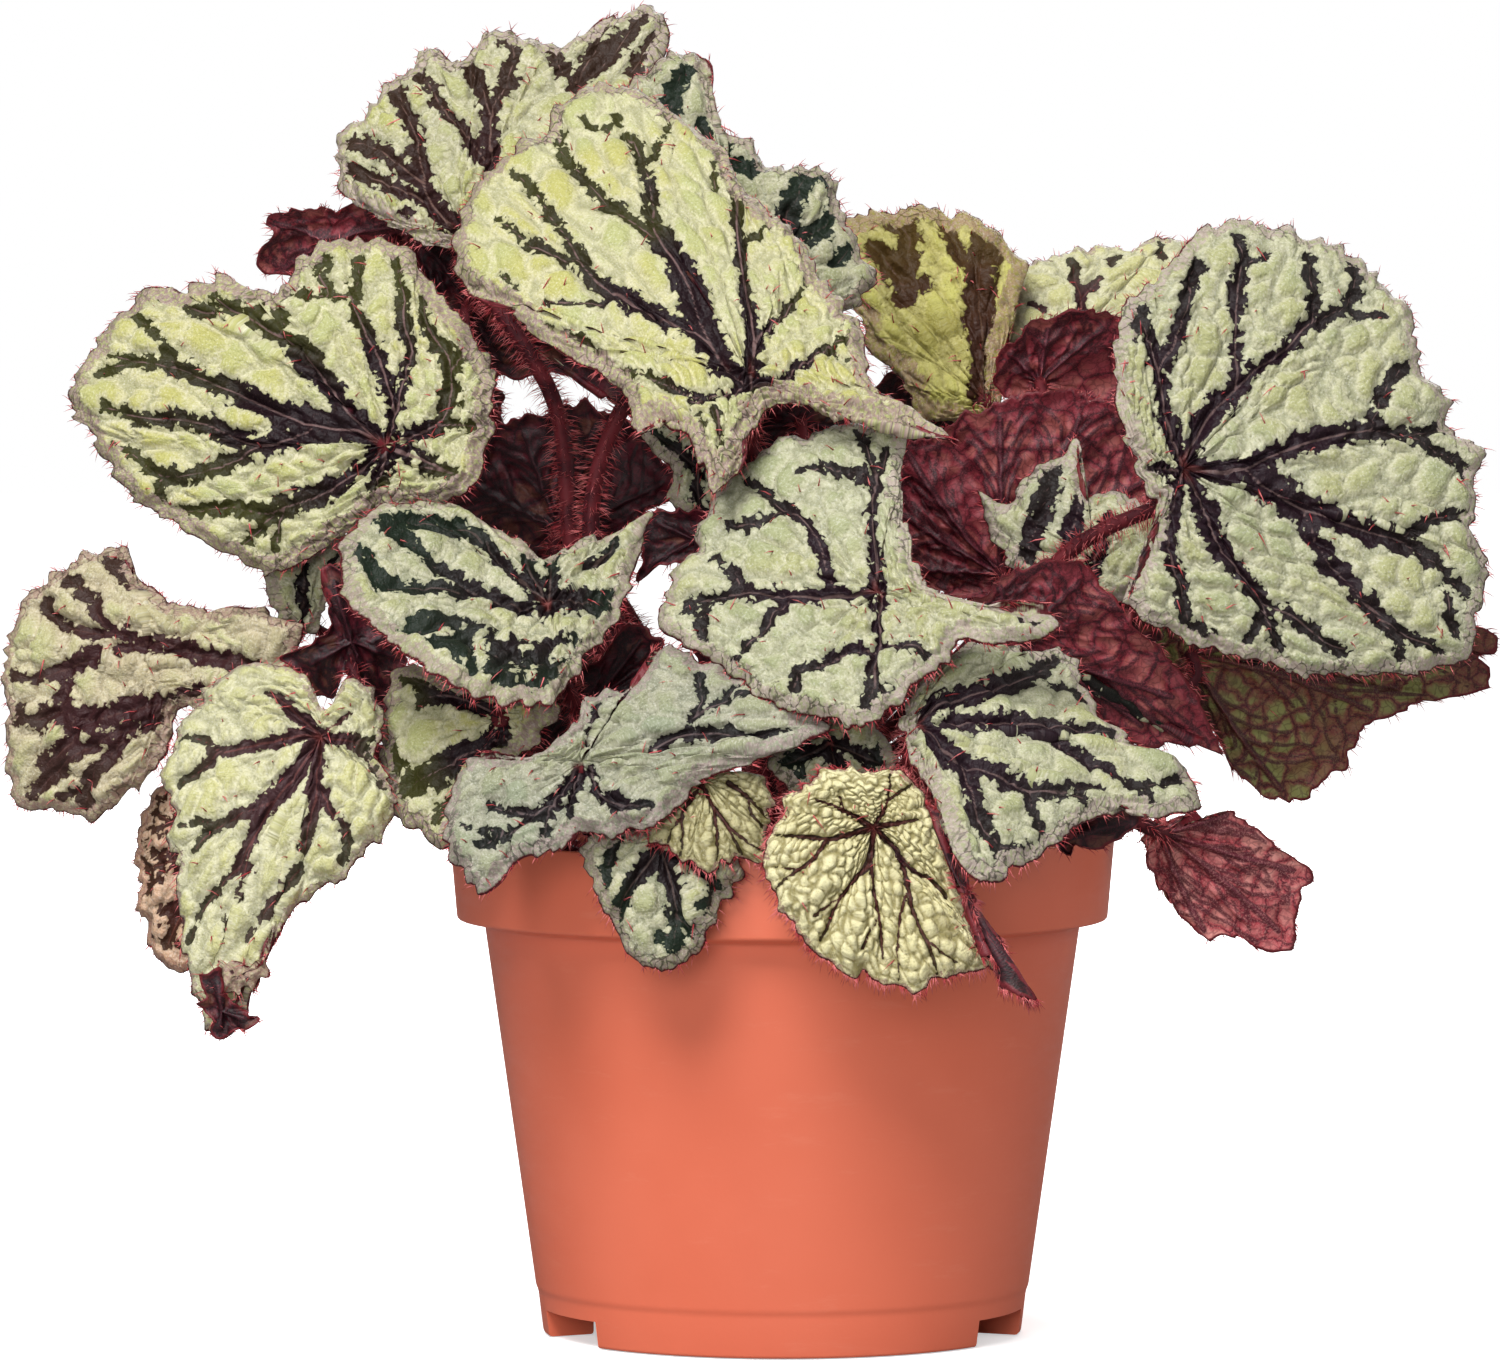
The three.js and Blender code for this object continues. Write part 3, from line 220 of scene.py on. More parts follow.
leaf("inner_under", "maroon", hub=(722, 580), core=(695, 540), tip=(640, 575), y=-28, face=(-10, -10),
     sag=1, cup=1, rings=2, under=True,
     edge="648 512 680 508 715 515 745 545 735 590 700 590 690 560 664 568 640 580 641 545",
     veins="652 520 645 570 730 580")
leaf("shade_front", "jade", hub=(830, 745), tip=(775, 770), y=-62, face=(0, 20), sag=0, cup=1, rings=2,
     edge="770 760 800 725 830 708 870 712 890 735 898 765 888 790 850 788 800 792 775 785",
     veins="780 770 890 770 840 785")
leaf("rim_right", "maroon", hub=(1066, 838), tip=(1140, 830), y=-50, face=(10, 0), sag=0, cup=1, rings=2,
     under=True,
     edge="1050 838 1070 810 1100 800 1130 806 1138 822 1126 836 1095 848 1065 850",
     veins="1060 835 1130 822")
leaf("right_large", "sage", hub=(1182, 470), tip=(1480, 560), y=-30, face=(8, 12), sag=4, cup=5, rings=4,
     dark=0.92,
     edge="1113 345 1125 308 1150 280 1175 255 1205 228 1250 219 1305 232 1350 252 1392 285 1418 325 "
          "1420 360 1448 400 1452 428 1486 448 1472 490 1478 535 1493 568 1480 620 1468 658 1400 672 "
          "1310 675 1240 655 1170 635 1125 600 1145 552 1155 505 1138 470 1120 420 1116 385",
     veins="1130 310 1195 255 1250 235 1350 262 1400 320 1450 455 1470 580 1400 655 1285 655 1192 625")
leaf("right_under", "rose", hub=(1010, 642), tip=(1215, 745), y=-34, face=(14, -18), sag=2, cup=4,
     rings=3, under=True,
     edge="975 600 1010 570 1060 558 1092 572 1125 610 1170 660 1205 710 1222 755 1203 746 1165 738 "
          "1150 745 1115 732 1078 702 1040 690 1000 660 975 630",
     veins="1000 590 1085 575 1200 705 1150 735 1010 655")
leaf("inner_right_face", "sage", hub=(1095, 560), tip=(1078, 445), y=2, face=(-6, 12), sag=1, cup=2,
     rings=3,
     edge="978 490 1008 504 1020 485 1048 462 1078 440 1088 490 1130 490 1165 515 1155 560 1125 600 "
          "1080 610 1030 590 1005 560 985 522",
     veins="990 500 1070 455 1150 520 1015 555")
leaf("inner_right_under", "rose", hub=(1000, 572), tip=(1070, 395), y=24, face=(4, -12), sag=3, cup=5,
     rings=3, under=True,
     edge="897 440 930 432 960 415 1000 400 1040 388 1085 394 1120 404 1146 440 1160 495 1130 540 1060 560 "
          "1010 590 985 602 935 585 905 550 893 490",
     veins="910 450 1000 405 1085 405 1135 490 930 570 900 510")
leaf("back_green", "olive", hub=(985, 402), tip=(900, 215), y=50, face=(0, 15), sag=3, cup=3, dark=1.1,
     rings=3,
     edge="845 215 880 212 910 208 950 210 990 222 1015 250 1030 265 1016 310 1002 360 1000 402 985 440 "
          "950 425 920 420 900 380 873 354 866 334 850 305 842 285 840 250",
     veins="860 230 920 220 1000 250 915 400 880 310")
leaf("back_right", "pale", hub=(1075, 345), tip=(1150, 240), y=66, face=(6, 20), sag=2, cup=3, rings=3,
     edge="1003 330 1010 290 1032 262 1055 252 1082 245 1115 246 1150 240 1180 236 1200 242 1215 290 "
          "1190 350 1140 390 1080 400 1030 380",
     veins="1030 280 1085 250 1150 245 1195 260 1150 370")
leaf("back_right_fold", "rose", hub=(1040, 382), tip=(1060, 315), y=44, face=(4, -25), sag=0, cup=2,
     rings=2, under=True,
     edge="998 352 1020 335 1045 318 1080 312 1118 318 1132 345 1128 392 1060 402 1000 396",
     veins="1010 355 1050 322 1110 325")
leaf("right_low_under", "olive_rose", hub=(1190, 652), tip=(1300, 795), y=16, face=(6, -16), sag=3, cup=5,
     rings=3, under=True,
     edge="1150 640 1200 600 1290 580 1400 600 1440 622 1478 625 1500 648 1481 653 1488 681 1438 699 "
          "1404 706 1361 732 1335 774 1292 799 1258 791 1226 757 1200 724 1175 690",
     veins="1190 700 1280 785 1380 715 1480 650 1400 610 1220 605")
leaf("right_small_under", "pink", hub=(1160, 832), tip=(1270, 945), y=-8, face=(12, -8), sag=2, cup=3,
     rings=3, under=True,
     edge="1137 815 1182 822 1212 811 1225 812 1270 840 1303 868 1299 905 1292 935 1276 951 1240 936 "
          "1210 938 1180 915 1158 885 1146 850",
     veins="1285 940 1290 870 1225 815 1195 910")
leaf("back_left_high", "sage", hub=(395, 418), tip=(180, 335), y=66, face=(25, -30), sag=4, cup=4,
     skew=0.12)
leaf("back_top", "sage", hub=(715, 290), tip=(590, 105), y=64, face=(5, -35), sag=4, cup=4, skew=-0.12)
leaf("back_right_high", "sage", hub=(1260, 500), tip=(1385, 310), y=58, face=(-25, -30), sag=4, cup=4,
     skew=0.1)
leaf("back_left_low", "sage", hub=(530, 630), tip=(430, 795), y=58, face=(42, -20), sag=4, cup=4,
     skew=-0.1)
leaf("back_low", "sage", hub=(800, 600), tip=(800, 820), y=88, face=(0, -20), sag=4, cup=5, skew=0.12)
leaf("back_right_low", "sage", hub=(1060, 590), tip=(1190, 695), y=72, face=(-42, -20), sag=4, cup=4,
     skew=0.1)
leaf("back_centre", "sage", hub=(900, 515), tip=(955, 330), y=92, face=(-4, -30), sag=4, cup=4,
     skew=-0.12)
# the two curled tips of the drooping leaf and the rolled edge of the young leaf on the right, which
# are too small to be solids of their own
leaf("curl_red", "maroon", hub=(206, 990), core=(222, 1010), tip=(252, 1020), y=-56, face=(0, -5), sag=0,
     cup=1, rings=2, under=True, extra=True,
     edge="203 975 210 971 219 972 221 988 229 999 238 1003 238 1009 250 1015 258 1016 254 1025 246 1033 "
          "238 1036 228 1033 216 1040 210 1034 214 1020 206 1008 197 1000 204 990",
     veins="252 1020 212 975 220 1036")
leaf("curl_grey", "tan", hub=(220, 982), core=(241, 975), tip=(264, 980), y=-55.5, face=(5, 5), sag=0,
     cup=1, rings=2, extra=True,
     edge="217 972 222 963 229 957 245 961 256 963 261 957 267 964 267 976 262 986 252 991 246 988 240 995 "
          "222 991 216 984",
     veins="264 980 232 960 238 992")
leaf("roll_young", "maroon", hub=(938, 822), core=(964, 893), tip=(1024, 1000), y=-84.6, face=(5, 9),
     sag=-1, cup=0, rings=2, under=True, fringe=16.0, extra=True,
     edge="930 808 940 812 948 826 958 850 969 885 979 915 990 940 1008 968 1034 1002 1022 999 1003 980 "
          "988 957 978 933 967 903 955 870 943 838",
     veins="936 816 981 925 1026 998")
print("leaves:", len(LEAVES))

# %% [markdown]
# ## The dark bands of the leaves in front
# The vein tree of each leaf that shows its face is written here band by band: first half the width of
# the dark band in mm at some even stops along it, then the line it follows in the picture. A band with
# negative widths is a patch of silver, laid over the bands before it. Leaves that are not named get a
# plain tree from their vein ends. A tree grown by rule alone was tried first, and it looked like a
# striped shell: on the plant the bands fork unevenly, and that makes the leaf.

# %% The bands
BANDS = {
    # in top_front, the widest band, from 656 440 to 700 490, is painted shade: the dark hollow under its
    # folded lower lobes
    "top_front": """
        2.4 3.5 1.9: 746 392 728 375 712 350 700 325 692 295 678 268 662 245 655 232; 1.4 1.1 .9: 655 232
        652 205 648 180 640 160 634 142; .7 .4: 646 166 660 152 668 125; 1.6 1.4 .9: 656 242 630 225
        610 210 590 190 575 170 560 150 560 132; 2.4 2.2 1.3: 712 352 690 335 660 322 640 310 620 298
        600 288 585 272 578 260; 1.2 .9: 578 260 560 235 545 210 532 190 515 178; 1.3 1: 582 264 560 263
        535 252 515 236 503 224; 1.8 1.4 .9 .8: 752 394 753 370 755 345 752 320 747 300 743 275 740 255
        737 232 737 210 735 195; 1.3 .8 .5: 755 345 770 330 785 315 800 295 812 278 818 265; 1.2 .5:
        742 250 755 240 770 228; 1.6 1 .7: 756 392 780 388 800 372 820 357 840 345 856 345; .4: 830 354
        846 364; 1.2 .9 .6: 742 396 716 402 692 408; .5 .5: 535 322 560 332 585 342 603 358 612 368; .4:
        505 280 520 293; .4: 548 305 575 307 604 306; .5 .9: 632 145 618 134 600 132 585 125; .9: 617 127
        616 118; .6 .2: 714 168 715 192; .5 .6 .8: 618 372 640 378 662 385 680 395 700 402; 3 3.4 3.2 2.4:
        656 440 676 442 690 462 700 490; .4: 700 420 705 446; .4: 716 416 722 448""",
    "left_large": """
        1.6 3.4 2.6 1.5 1: 386 448 360 432 325 428 305 424 290 418 270 409 250 400 235 393 215 385 200 378
        180 370 155 365 138 362 118 358; 1.2 .8: 176 368 168 350 158 334 145 325 134 315; .8 .5: 140 362
        116 369 100 372; 2.8 2 1.2 .8: 312 430 290 440 270 446 250 444 235 438 220 430 200 423 180 420
        150 419 130 415 108 408; 1.6 1.5 1.2 .7: 262 449 240 460 220 468 200 473 180 477 165 477 150 469
        140 460 130 452 116 448; .8: 163 480 162 500 166 514; 1.6 2.4 2.4 1.5 1.2: 386 445 365 428 350 413
        340 399 325 380 310 360 295 346 280 338 265 328 250 318 235 312 220 300; .9 .6: 236 313 215 315
        196 310 180 300 165 298; .8: 282 340 287 322 278 306; 1.6 1.5 1.2: 390 444 396 420 392 395 385 375
        378 355 370 340 360 320 353 300 360 280 362 262; .9 .8: 353 300 335 297 318 300 298 298; .9:
        332 297 323 276 326 262; 1.3 1.2 .8: 394 430 402 395 408 370 412 350 406 330 405 300 400 275
        398 264; 1.4 2 1.4 .9: 394 444 412 438 430 430 445 418 450 400 452 380 450 360 440 345 430 330
        425 314 426 300; .9: 452 374 462 356 470 344; 1.3 .8: 436 426 460 425 488 429; 1.2 .8: 398 452
        420 460 440 468 464 478; 1.6 1.5 1: 388 454 385 470 380 490 374 510 362 530 346 544 320 551;
        1 2.2 1.6 1: 384 454 372 463 350 480 330 490 310 500 290 506 270 514 250 512 230 508 200 512
        180 511; 1 .8: 274 515 265 525 255 536 243 545; .5: 285 510 278 530 276 546; 1.4: 428 468 452 474;
        -1.1 -1.1 -1.2: 398 443 408 446 415 456 420 470 422 490; -3: 404 477 408 492; -2.2: 434 490
        446 491""",
    "right_large": """
        1.4 1.9 1.2 1.2 2.2: 1180 466 1170 440 1163 410 1160 385 1155 365 1150 350 1140 330 1134 318;
        1.2 1 1.6: 1158 372 1168 355 1175 335 1182 315 1187 295 1190 278 1196 266; 1.4 2.2 1.5 1.2 1.5 1:
        1182 460 1195 440 1210 415 1225 400 1240 385 1255 370 1275 358 1290 345 1305 328 1325 318 1345 308
        1352 290 1355 275 1352 262; 1 .7 1.5 1.1: 1236 388 1235 360 1235 340 1235 315 1237 290 1240 270
        1240 256 1235 244; .5: 1243 268 1255 262 1268 258; 1.6 1.2: 1312 322 1312 304 1308 286 1309 264;
        .9 .5: 1346 312 1365 318 1386 320; 1.6 2.2 1.8 1.6 1: 1185 468 1200 472 1230 475 1243 472 1260 462
        1285 450 1310 442 1340 435 1365 431 1385 432 1405 437 1430 431 1450 430; .9 1.2: 1370 430 1375 415
        1385 390 1395 376 1402 368; 1 .9: 1410 440 1430 450 1450 460 1466 471; 2 3.2 2.4 1.7 1: 1220 474
        1243 473 1260 485 1280 497 1300 508 1330 519 1355 528 1380 535 1400 541 1420 555 1440 570
        1462 592; .9: 1402 537 1420 525 1440 517 1466 515; 1.3 1.6 1.3 1.1: 1303 510 1312 535 1325 560
        1345 580 1360 600 1375 615 1390 635 1398 656; 1.3 1 .6: 1366 602 1378 614 1396 630 1415 640
        1430 645 1441 661; .8: 1444 590 1448 610 1455 636; 1.4 1.9 1.5 1.2: 1184 474 1197 500 1210 530
        1222 555 1235 570 1250 590 1262 605 1268 625 1276 646; .9 .8: 1265 605 1290 615 1310 630 1330 645
        1347 650; .8: 1262 608 1250 630 1245 641; 1.2 1.7 1.4 1.2 .9: 1180 474 1172 500 1167 525 1167 550
        1175 575 1182 595 1185 615 1196 632 1216 641; .8: 1174 473 1160 470 1148 469; 1: 1140 565 1128 582
        1117 592""",
    "centre": """
        1 1.5 1.3 1: 884 594 860 598 840 598 820 600 800 602 780 600 760 598 740 596 720 600 700 603
        688 611; .8: 745 595 738 580 728 568 714 560; 1: 710 602 706 620 704 636; 1 .8 .5: 792 604 776 620
        765 635 750 646 736 660; 1.1 1 .9: 842 598 830 580 825 565 820 545 810 530 800 520 790 515 775 510
        765 495 754 485; .8: 786 514 775 524 755 531 734 528; 1.4 .8 .8 1: 876 590 878 570 875 545 873 520
        875 500 878 480 872 465 865 445 862 430; 1.2 .9: 876 490 860 478 840 475 820 470 805 475; .5:
        878 485 883 465 886 448; 1.1 .8 1.2: 884 597 880 620 882 640 880 655 875 670 875 690 868 705
        872 718; .7: 882 650 900 650 920 652 931 660; .9: 876 655 850 655 825 667 800 675 794 690; .9:
        878 690 892 696; .7: 1022 622 1040 626""",
    "low_right": """
        1.4 2.3 2 1.4: 918 724 935 709 960 701 985 694 1010 685 1035 675 1050 664; .6: 1050 686 1068 690
        1086 701; 1.6 2.2 1.4 .5: 944 728 970 729 1000 727 1030 730 1070 733 1112 738; 1.5 1.3 1 .7:
        1050 740 1065 755 1085 765 1105 775 1120 785 1140 790 1165 785 1182 780; 1.3: 1140 792 1150 809;
        1.6 2.4 1.6 1 .7: 918 728 930 740 948 760 960 770 985 777 1010 785 1030 792 1060 795 1085 792
        1101 790; 1.1 .8: 1030 792 1032 810 1040 825 1046 841; .9: 1065 798 1082 804; 1.5 1.3 1.2: 960 772
        968 790 975 815 985 835 1000 848 1015 853 1036 848; 1.2: 1003 852 1003 870 1003 882; 1.5: 914 732
        903 745 900 770; .8: 970 866 976 882""",
    "young_right": """
        1.3 .9 .4: 873 828 850 835 830 840 810 838 790 836 775 835; .8 .4: 826 842 815 858 800 870 785 880
        776 889; .3: 800 870 785 868 776 866; 1.2 .8 .4: 873 828 872 845 868 865 855 880 845 892 835 905
        828 925 820 940; .4: 842 896 825 905 812 915; .8 .3: 870 862 872 885 876 905 880 925 882 945
        883 960; .3: 880 915 868 935 863 950; 1.3 .9 .8: 876 830 895 850 905 865 920 875 935 885 945 897;
        .9 .4: 900 858 905 880 910 905 918 925 928 945 935 965 938 976; .3: 925 940 945 955 958 962; .3:
        905 895 900 920 898 950 900 980; 1.2 .4: 873 828 860 820 845 812 830 805 815 800; .4: 843 812
        840 798; .8 .4: 874 825 885 808 888 790 890 775; .5: 888 800 900 792 912 785; .9 .5: 876 827
        895 824 916 820""",
    "young_left": """
        .8 .4: 702 785 712 805 725 822 735 840 742 856; .6 .3: 714 810 716 835 717 861; .7 .3: 702 785
        690 800 682 815 682 835 680 856; .4: 681 818 670 835 665 850; .9 .5: 728 783 745 795 760 810
        775 820; .4: 748 800 752 815 768 830; .4: 730 828 750 845 764 851""",
    "rim_front": """
        1.4 1.5 1.5: 660 848 668 870 675 895 678 915 675 935 672 946; 1.3 .8: 675 915 690 928 704 941; .7:
        676 930 660 940; 1.5 1.3 1: 656 855 640 875 625 895 618 915 612 931; 1: 616 838 610 860 605 882;
        1.4 1: 674 855 700 865 712 880 725 892 737 896; 1: 712 885 705 906""",
    "low_front": """
        .3 .4 .4: 657 642 677 649 692 662 700 685 700 708 692 718; .4 .5 .3: 692 718 715 706 740 696
        766 690; .5 .3: 735 685 727 697; .6 1.1 1.2 .9 .5: 652 750 680 737 715 734 755 738 790 732; .5 .3:
        588 745 596 722 600 705 612 697; .4 1 1.3 1 .6: 578 768 566 792 548 812 515 832 480 846; .6:
        540 815 515 815 490 806; .5: 505 833 480 832 462 826; .6 1 .7: 582 768 576 790 572 815;
        .5 .9 1 .6: 592 770 600 795 622 806 648 808; 1.3 .9: 622 806 624 825; .5: 560 800 548 822 545 840;
        .5: 648 808 646 822""",
    "bowl": """
        1.4 1.6 1.2 1.5: 542 618 500 606 480 598 460 588 440 574 420 560 400 543 380 524; 1.3 1.1: 545 606
        530 592 510 575 495 560 485 545; 1.5 1.3: 400 522 440 530 470 536 482 548; 1 .9: 545 610 540 590
        531 575 526 560; 1.2: 551 560 550 590 548 616; 1.1 1.4 1: 347 545 365 562 380 582 400 590 430 592
        460 598; 2.6 5 6.5 5.5 3.4: 408 630 450 640 490 660 530 672 572 652; 2.2: 556 604 580 604 604 606;
        .7: 590 572 605 560 616 545; 1: 572 690 590 664; 1.6: 612 600 616 620; -2 -1.6: 396 612 402 640
        418 662 448 686 480 697; -1.3 -1.6 -1: 396 646 420 640 445 636 466 632; -1 -1.4: 424 658 436 668
        446 676; -1.9 -1.7: 476 643 478 662 482 682 494 697; -2.4 -1.8: 500 640 516 630 538 623; -2.6:
        556 656 570 652; -1.3: 520 655 528 653; -1.2: 515 666 513 678; -.9: 532 672 526 688 516 692; -1:
        590 640 580 660 560 682 548 692; -.9: 424 627 426 630; -1: 556 640 560 638; -.8: 528 600 536 606;
        -1.4: 575 618 595 630""",
    "left_low": """
        2 2.6 3.4 2.6: 505 740 488 748 470 756 440 775 414 786; 1.8 2: 500 716 465 700 440 696 426 703;
        1.6 2: 395 668 415 680 437 691; 1.3: 393 748 398 768; 1: 455 800 440 822""",
    "left_drooping": """
        1.1 1.3 .7: 322 738 305 736 280 741 255 746 226 753; 1 .5: 222 752 210 744 195 740 182 742;
        1.2 .7: 218 752 210 765 195 775 182 786; 1.3 1.7 .6: 322 736 305 722 292 710 280 701 270 697;
        1.5 2.2 1.9 1.2 .7: 320 742 305 765 290 785 270 805 245 815 225 825 210 835 198 852; .8 .5:
        222 826 200 823 184 829; 1.7 1.4 1 .5: 272 806 262 825 250 850 240 870 225 885 210 900 199 916;
        1 .5: 256 838 252 860 247 880 240 901; 1.5 1.7: 322 742 320 765 317 790 318 800; 1.7 1: 318 800
        310 825 305 850; 1.5 .5: 322 792 330 805 335 819; .8: 345 822 350 845 344 860; .9: 301 869 290 885
        284 896 270 910 264 919; .6: 229 919 226 932; .5: 252 932 247 939; 1.3 1.2 1.1: 326 740 345 741
        360 745 370 755 380 770 385 786; .4: 360 743 376 738; .2: 326 732 338 724 351 714; .6: 197 928
        189 942""",
    "far_left": """
        2.4 2.4 2 1.3: 255 668 225 660 200 656 175 646 150 645 120 652; 1.5 1.3: 150 642 120 635 100 635
        80 632 60 622 50 604; 1.4 1.7: 112 630 98 605 85 590 70 580 60 570; 2.2: 114 556 122 574 140 586;
        2 1.5: 100 656 80 665 60 672 40 680 18 676; 1.8 2.8 2.8 2: 200 690 180 702 150 706 125 712 100 720
        80 718 60 712 40 720 22 716; 1.7: 70 712 68 690 66 672; 1.8 1.4: 76 722 75 740 60 755 46 765;
        1.2 1.4 1.7: 176 712 150 728 120 732 95 745 75 755 60 770 48 781 34 800; 1.1 2.3: 126 740 110 760
        95 780 86 802; .9: 62 796 84 790""",
    "left_top": """
        1.8 1.8 1.5 1.2: 455 230 440 215 430 200 425 180 420 160 418 140 410 120 402 100 400 88; 1.1 1.5:
        426 186 405 170 385 155 370 148 354 147; 1.1 1.3: 424 202 410 195 390 188 370 178 354 169; .8:
        410 215 395 220 380 215 362 206; 1.4 .9 1.1: 490 168 465 135 450 120 440 105 428 85 417 77;
        1.7 1.5 1.1: 493 162 492 130 495 110 505 95 512 75 515 55 510 44; 1.4: 491 118 485 95 475 80
        465 65; 1.4 .9: 578 87 560 70 555 55 550 47; 1.6 1.1: 578 84 592 60 598 45 600 30; 1.3 1: 588 78
        605 65 618 50 628 35 641 24; 1.1: 632 78 642 60 650 45 666 30; .8: 640 10 645 22""",
    "behind_top": """
        1.5 1: 671 114 675 90 680 78 696 70; 1.3: 733 165 745 171 761 168; .9: 726 138 730 148; 1.8 1.3:
        790 237 785 215 795 200 800 185 810 175 826 180; 1.8 1.3: 792 238 815 236 830 222 836 206 830 190;
        1: 846 250 834 266; .9: 700 128 711 141""",
    "back_green": """
        1.8 2.4 2.6: 980 398 983 360 980 330 978 300 980 270 986 244; 1.8: 906 300 898 280 886 262
        874 254; 2: 905 288 907 260 910 240 900 224; 1.2: 944 224 950 240 961 262; 1: 915 290 925 284""",
    "back_right": """
        1.1 .9: 1081 318 1080 300 1075 285 1073 270 1070 262; 1.2 .5: 1080 300 1090 290 1101 280; .8:
        1110 263 1118 259; .8: 1158 246 1160 262; .6: 1030 304 1042 311""",
    "left_folded": """
        1: 303 560 300 600 296 640; .8: 335 560 332 600""",
    "inner_right_face": """
        2 1.6: 1050 470 1046 500 1036 530 1026 562; 1.4: 1080 505 1070 540 1062 575; 1.2: 1110 520
        1098 552 1090 590""",
}


def read_bands(text):
    """Each band as its half widths and the points of its line."""
    out = []
    for one in text.split(";"):
        widths, line = one.split(":")
        out.append((np.array(widths.split(), float), pairs(line)))
    return out


print("bands:", sum(text.count(":") for text in BANDS.values()))

# %% [markdown]
# ## Smooth lines and lumps
# Outlines and stalks are smooth lines through a few points. A line that bends through its corners the
# way a bent rod does was chosen over straight pieces, since no edge of a leaf is straight. The lumps
# and cells are for everything that grows unevenly: puckers, ruffles, crumbs.

# %% Curves, noise and cells
STEPS = 24            # of a smooth line, from one of its points to the next


def smooth(points, count, closed=False):
    """Even stops on a smooth line, how many of its points each stop has passed, and its length."""
    p = np.asarray(points, float)
    p = np.concatenate([p[-1:], p, p[:2]] if closed else [2 * p[:1] - p[1:2], p, 2 * p[-1:] - p[-2:-1]])
    a, b, c, d = p[:-3], p[1:-2], p[2:-1], p[3:]
    ab, bc, cd = (np.sqrt(np.maximum(np.linalg.norm(q - r, axis=1), 1e-4))[:, None]
                  for q, r in ((a, b), (b, c), (c, d)))
    leave = bc * ((b - a) / ab - (c - a) / (ab + bc) + (c - b) / bc)
    arrive = bc * ((c - b) / bc - (d - b) / (bc + cd) + (d - c) / cd)
    t = (np.arange(STEPS) / STEPS)[:, None, None]
    line = (b + t * leave + t ** 2 * (3 * (c - b) - 2 * leave - arrive)
            + t ** 3 * (2 * (b - c) + leave + arrive))
    line = np.concatenate([line.transpose(1, 0, 2).reshape(-1, p.shape[1]), c[-1:]])
    passed = np.arange(len(line)) / STEPS
    run = np.concatenate([[0], np.cumsum(np.linalg.norm(np.diff(line, axis=0), axis=1))])
    stops = np.linspace(0, run[-1], count, endpoint=not closed)
    return (np.stack([np.interp(stops, run, axis) for axis in line.T], 1),
            np.interp(stops, run, passed), run[-1])


def lumps(p, size, seed):
    """Smooth noise from -1 to 1 at flat points p, with lumps of a size."""
    wide = 64
    table = np.random.default_rng(seed).uniform(-1, 1, (wide, wide))
    cell = np.floor(p / size).astype(int)
    f = p / size - cell
    f = f * f * (3 - 2 * f)
    corner = [[table[(cell[..., 0] + i) % wide, (cell[..., 1] + j) % wide] for j in (0, 1)] for i in (0, 1)]
    low, high = (corner[0][j] * (1 - f[..., 0]) + corner[1][j] * f[..., 0] for j in (0, 1))
    return low * (1 - f[..., 1]) + high * f[..., 1]


def cells(p, seed):
    """How far points lie from the border of their cell: 0 on it, 1 well inside. A cell is about 1 wide."""
    wide = 32
    table = np.random.default_rng(seed).uniform(0.1, 0.9, (wide, wide, wide, 3))
    home = np.floor(p).astype(int)
    gaps = []
    for step in np.ndindex(3, 3, 3):
        cell = home + np.array(step) - 1
        shift = table[tuple(np.moveaxis(cell % wide, -1, 0))]
        gaps.append(np.linalg.norm(p - cell - shift, axis=-1))
    gaps = np.partition(np.stack(gaps), 1, axis=0)
    return np.clip((gaps[1] - gaps[0]) / 0.75, 0, 1)


def mesh_object(name, points, faces, materials, face_slot=None):
    """A smooth-shaded mesh object from points in mm."""
    mesh = bpy.data.meshes.new(name)
    mesh.from_pydata((np.asarray(points) * MM).tolist(), [], faces)
    for material in materials:
        mesh.materials.append(material)
    if face_slot is not None:
        mesh.polygons.foreach_set("material_index", np.asarray(face_slot, dtype=np.int32))
    mesh.polygons.foreach_set("use_smooth", [True] * len(mesh.polygons))
    mesh.update()
    obj = bpy.data.objects.new(name, mesh)
    bpy.context.scene.collection.objects.link(obj)
    return obj


print("length of the smooth ring through a square's corners:",
      round(float(smooth([[0, 0], [1, 0], [1, 1], [0, 1]], 4, closed=True)[2]), 3))

# %% [markdown]
# ## Colours and a shorter way to write materials
# The paint of this plant is all in its leaves: silver fields between feathery dark bands along the
# veins. A painted picture could be laid on each leaf, but a rule for every point of the leaf holds
# at any size, so the materials are built from nodes. These helpers only shorten the writing.

# %% Node helpers
def srgb(red, green, blue):
    """A colour as read from a screen, made ready for light to be multiplied with it."""
    values = [c / 255 for c in (red, green, blue)]
    return [c / 12.92 if c <= 0.04045 else ((c + 0.055) / 1.055) ** 2.4 for c in values] + [1.0]


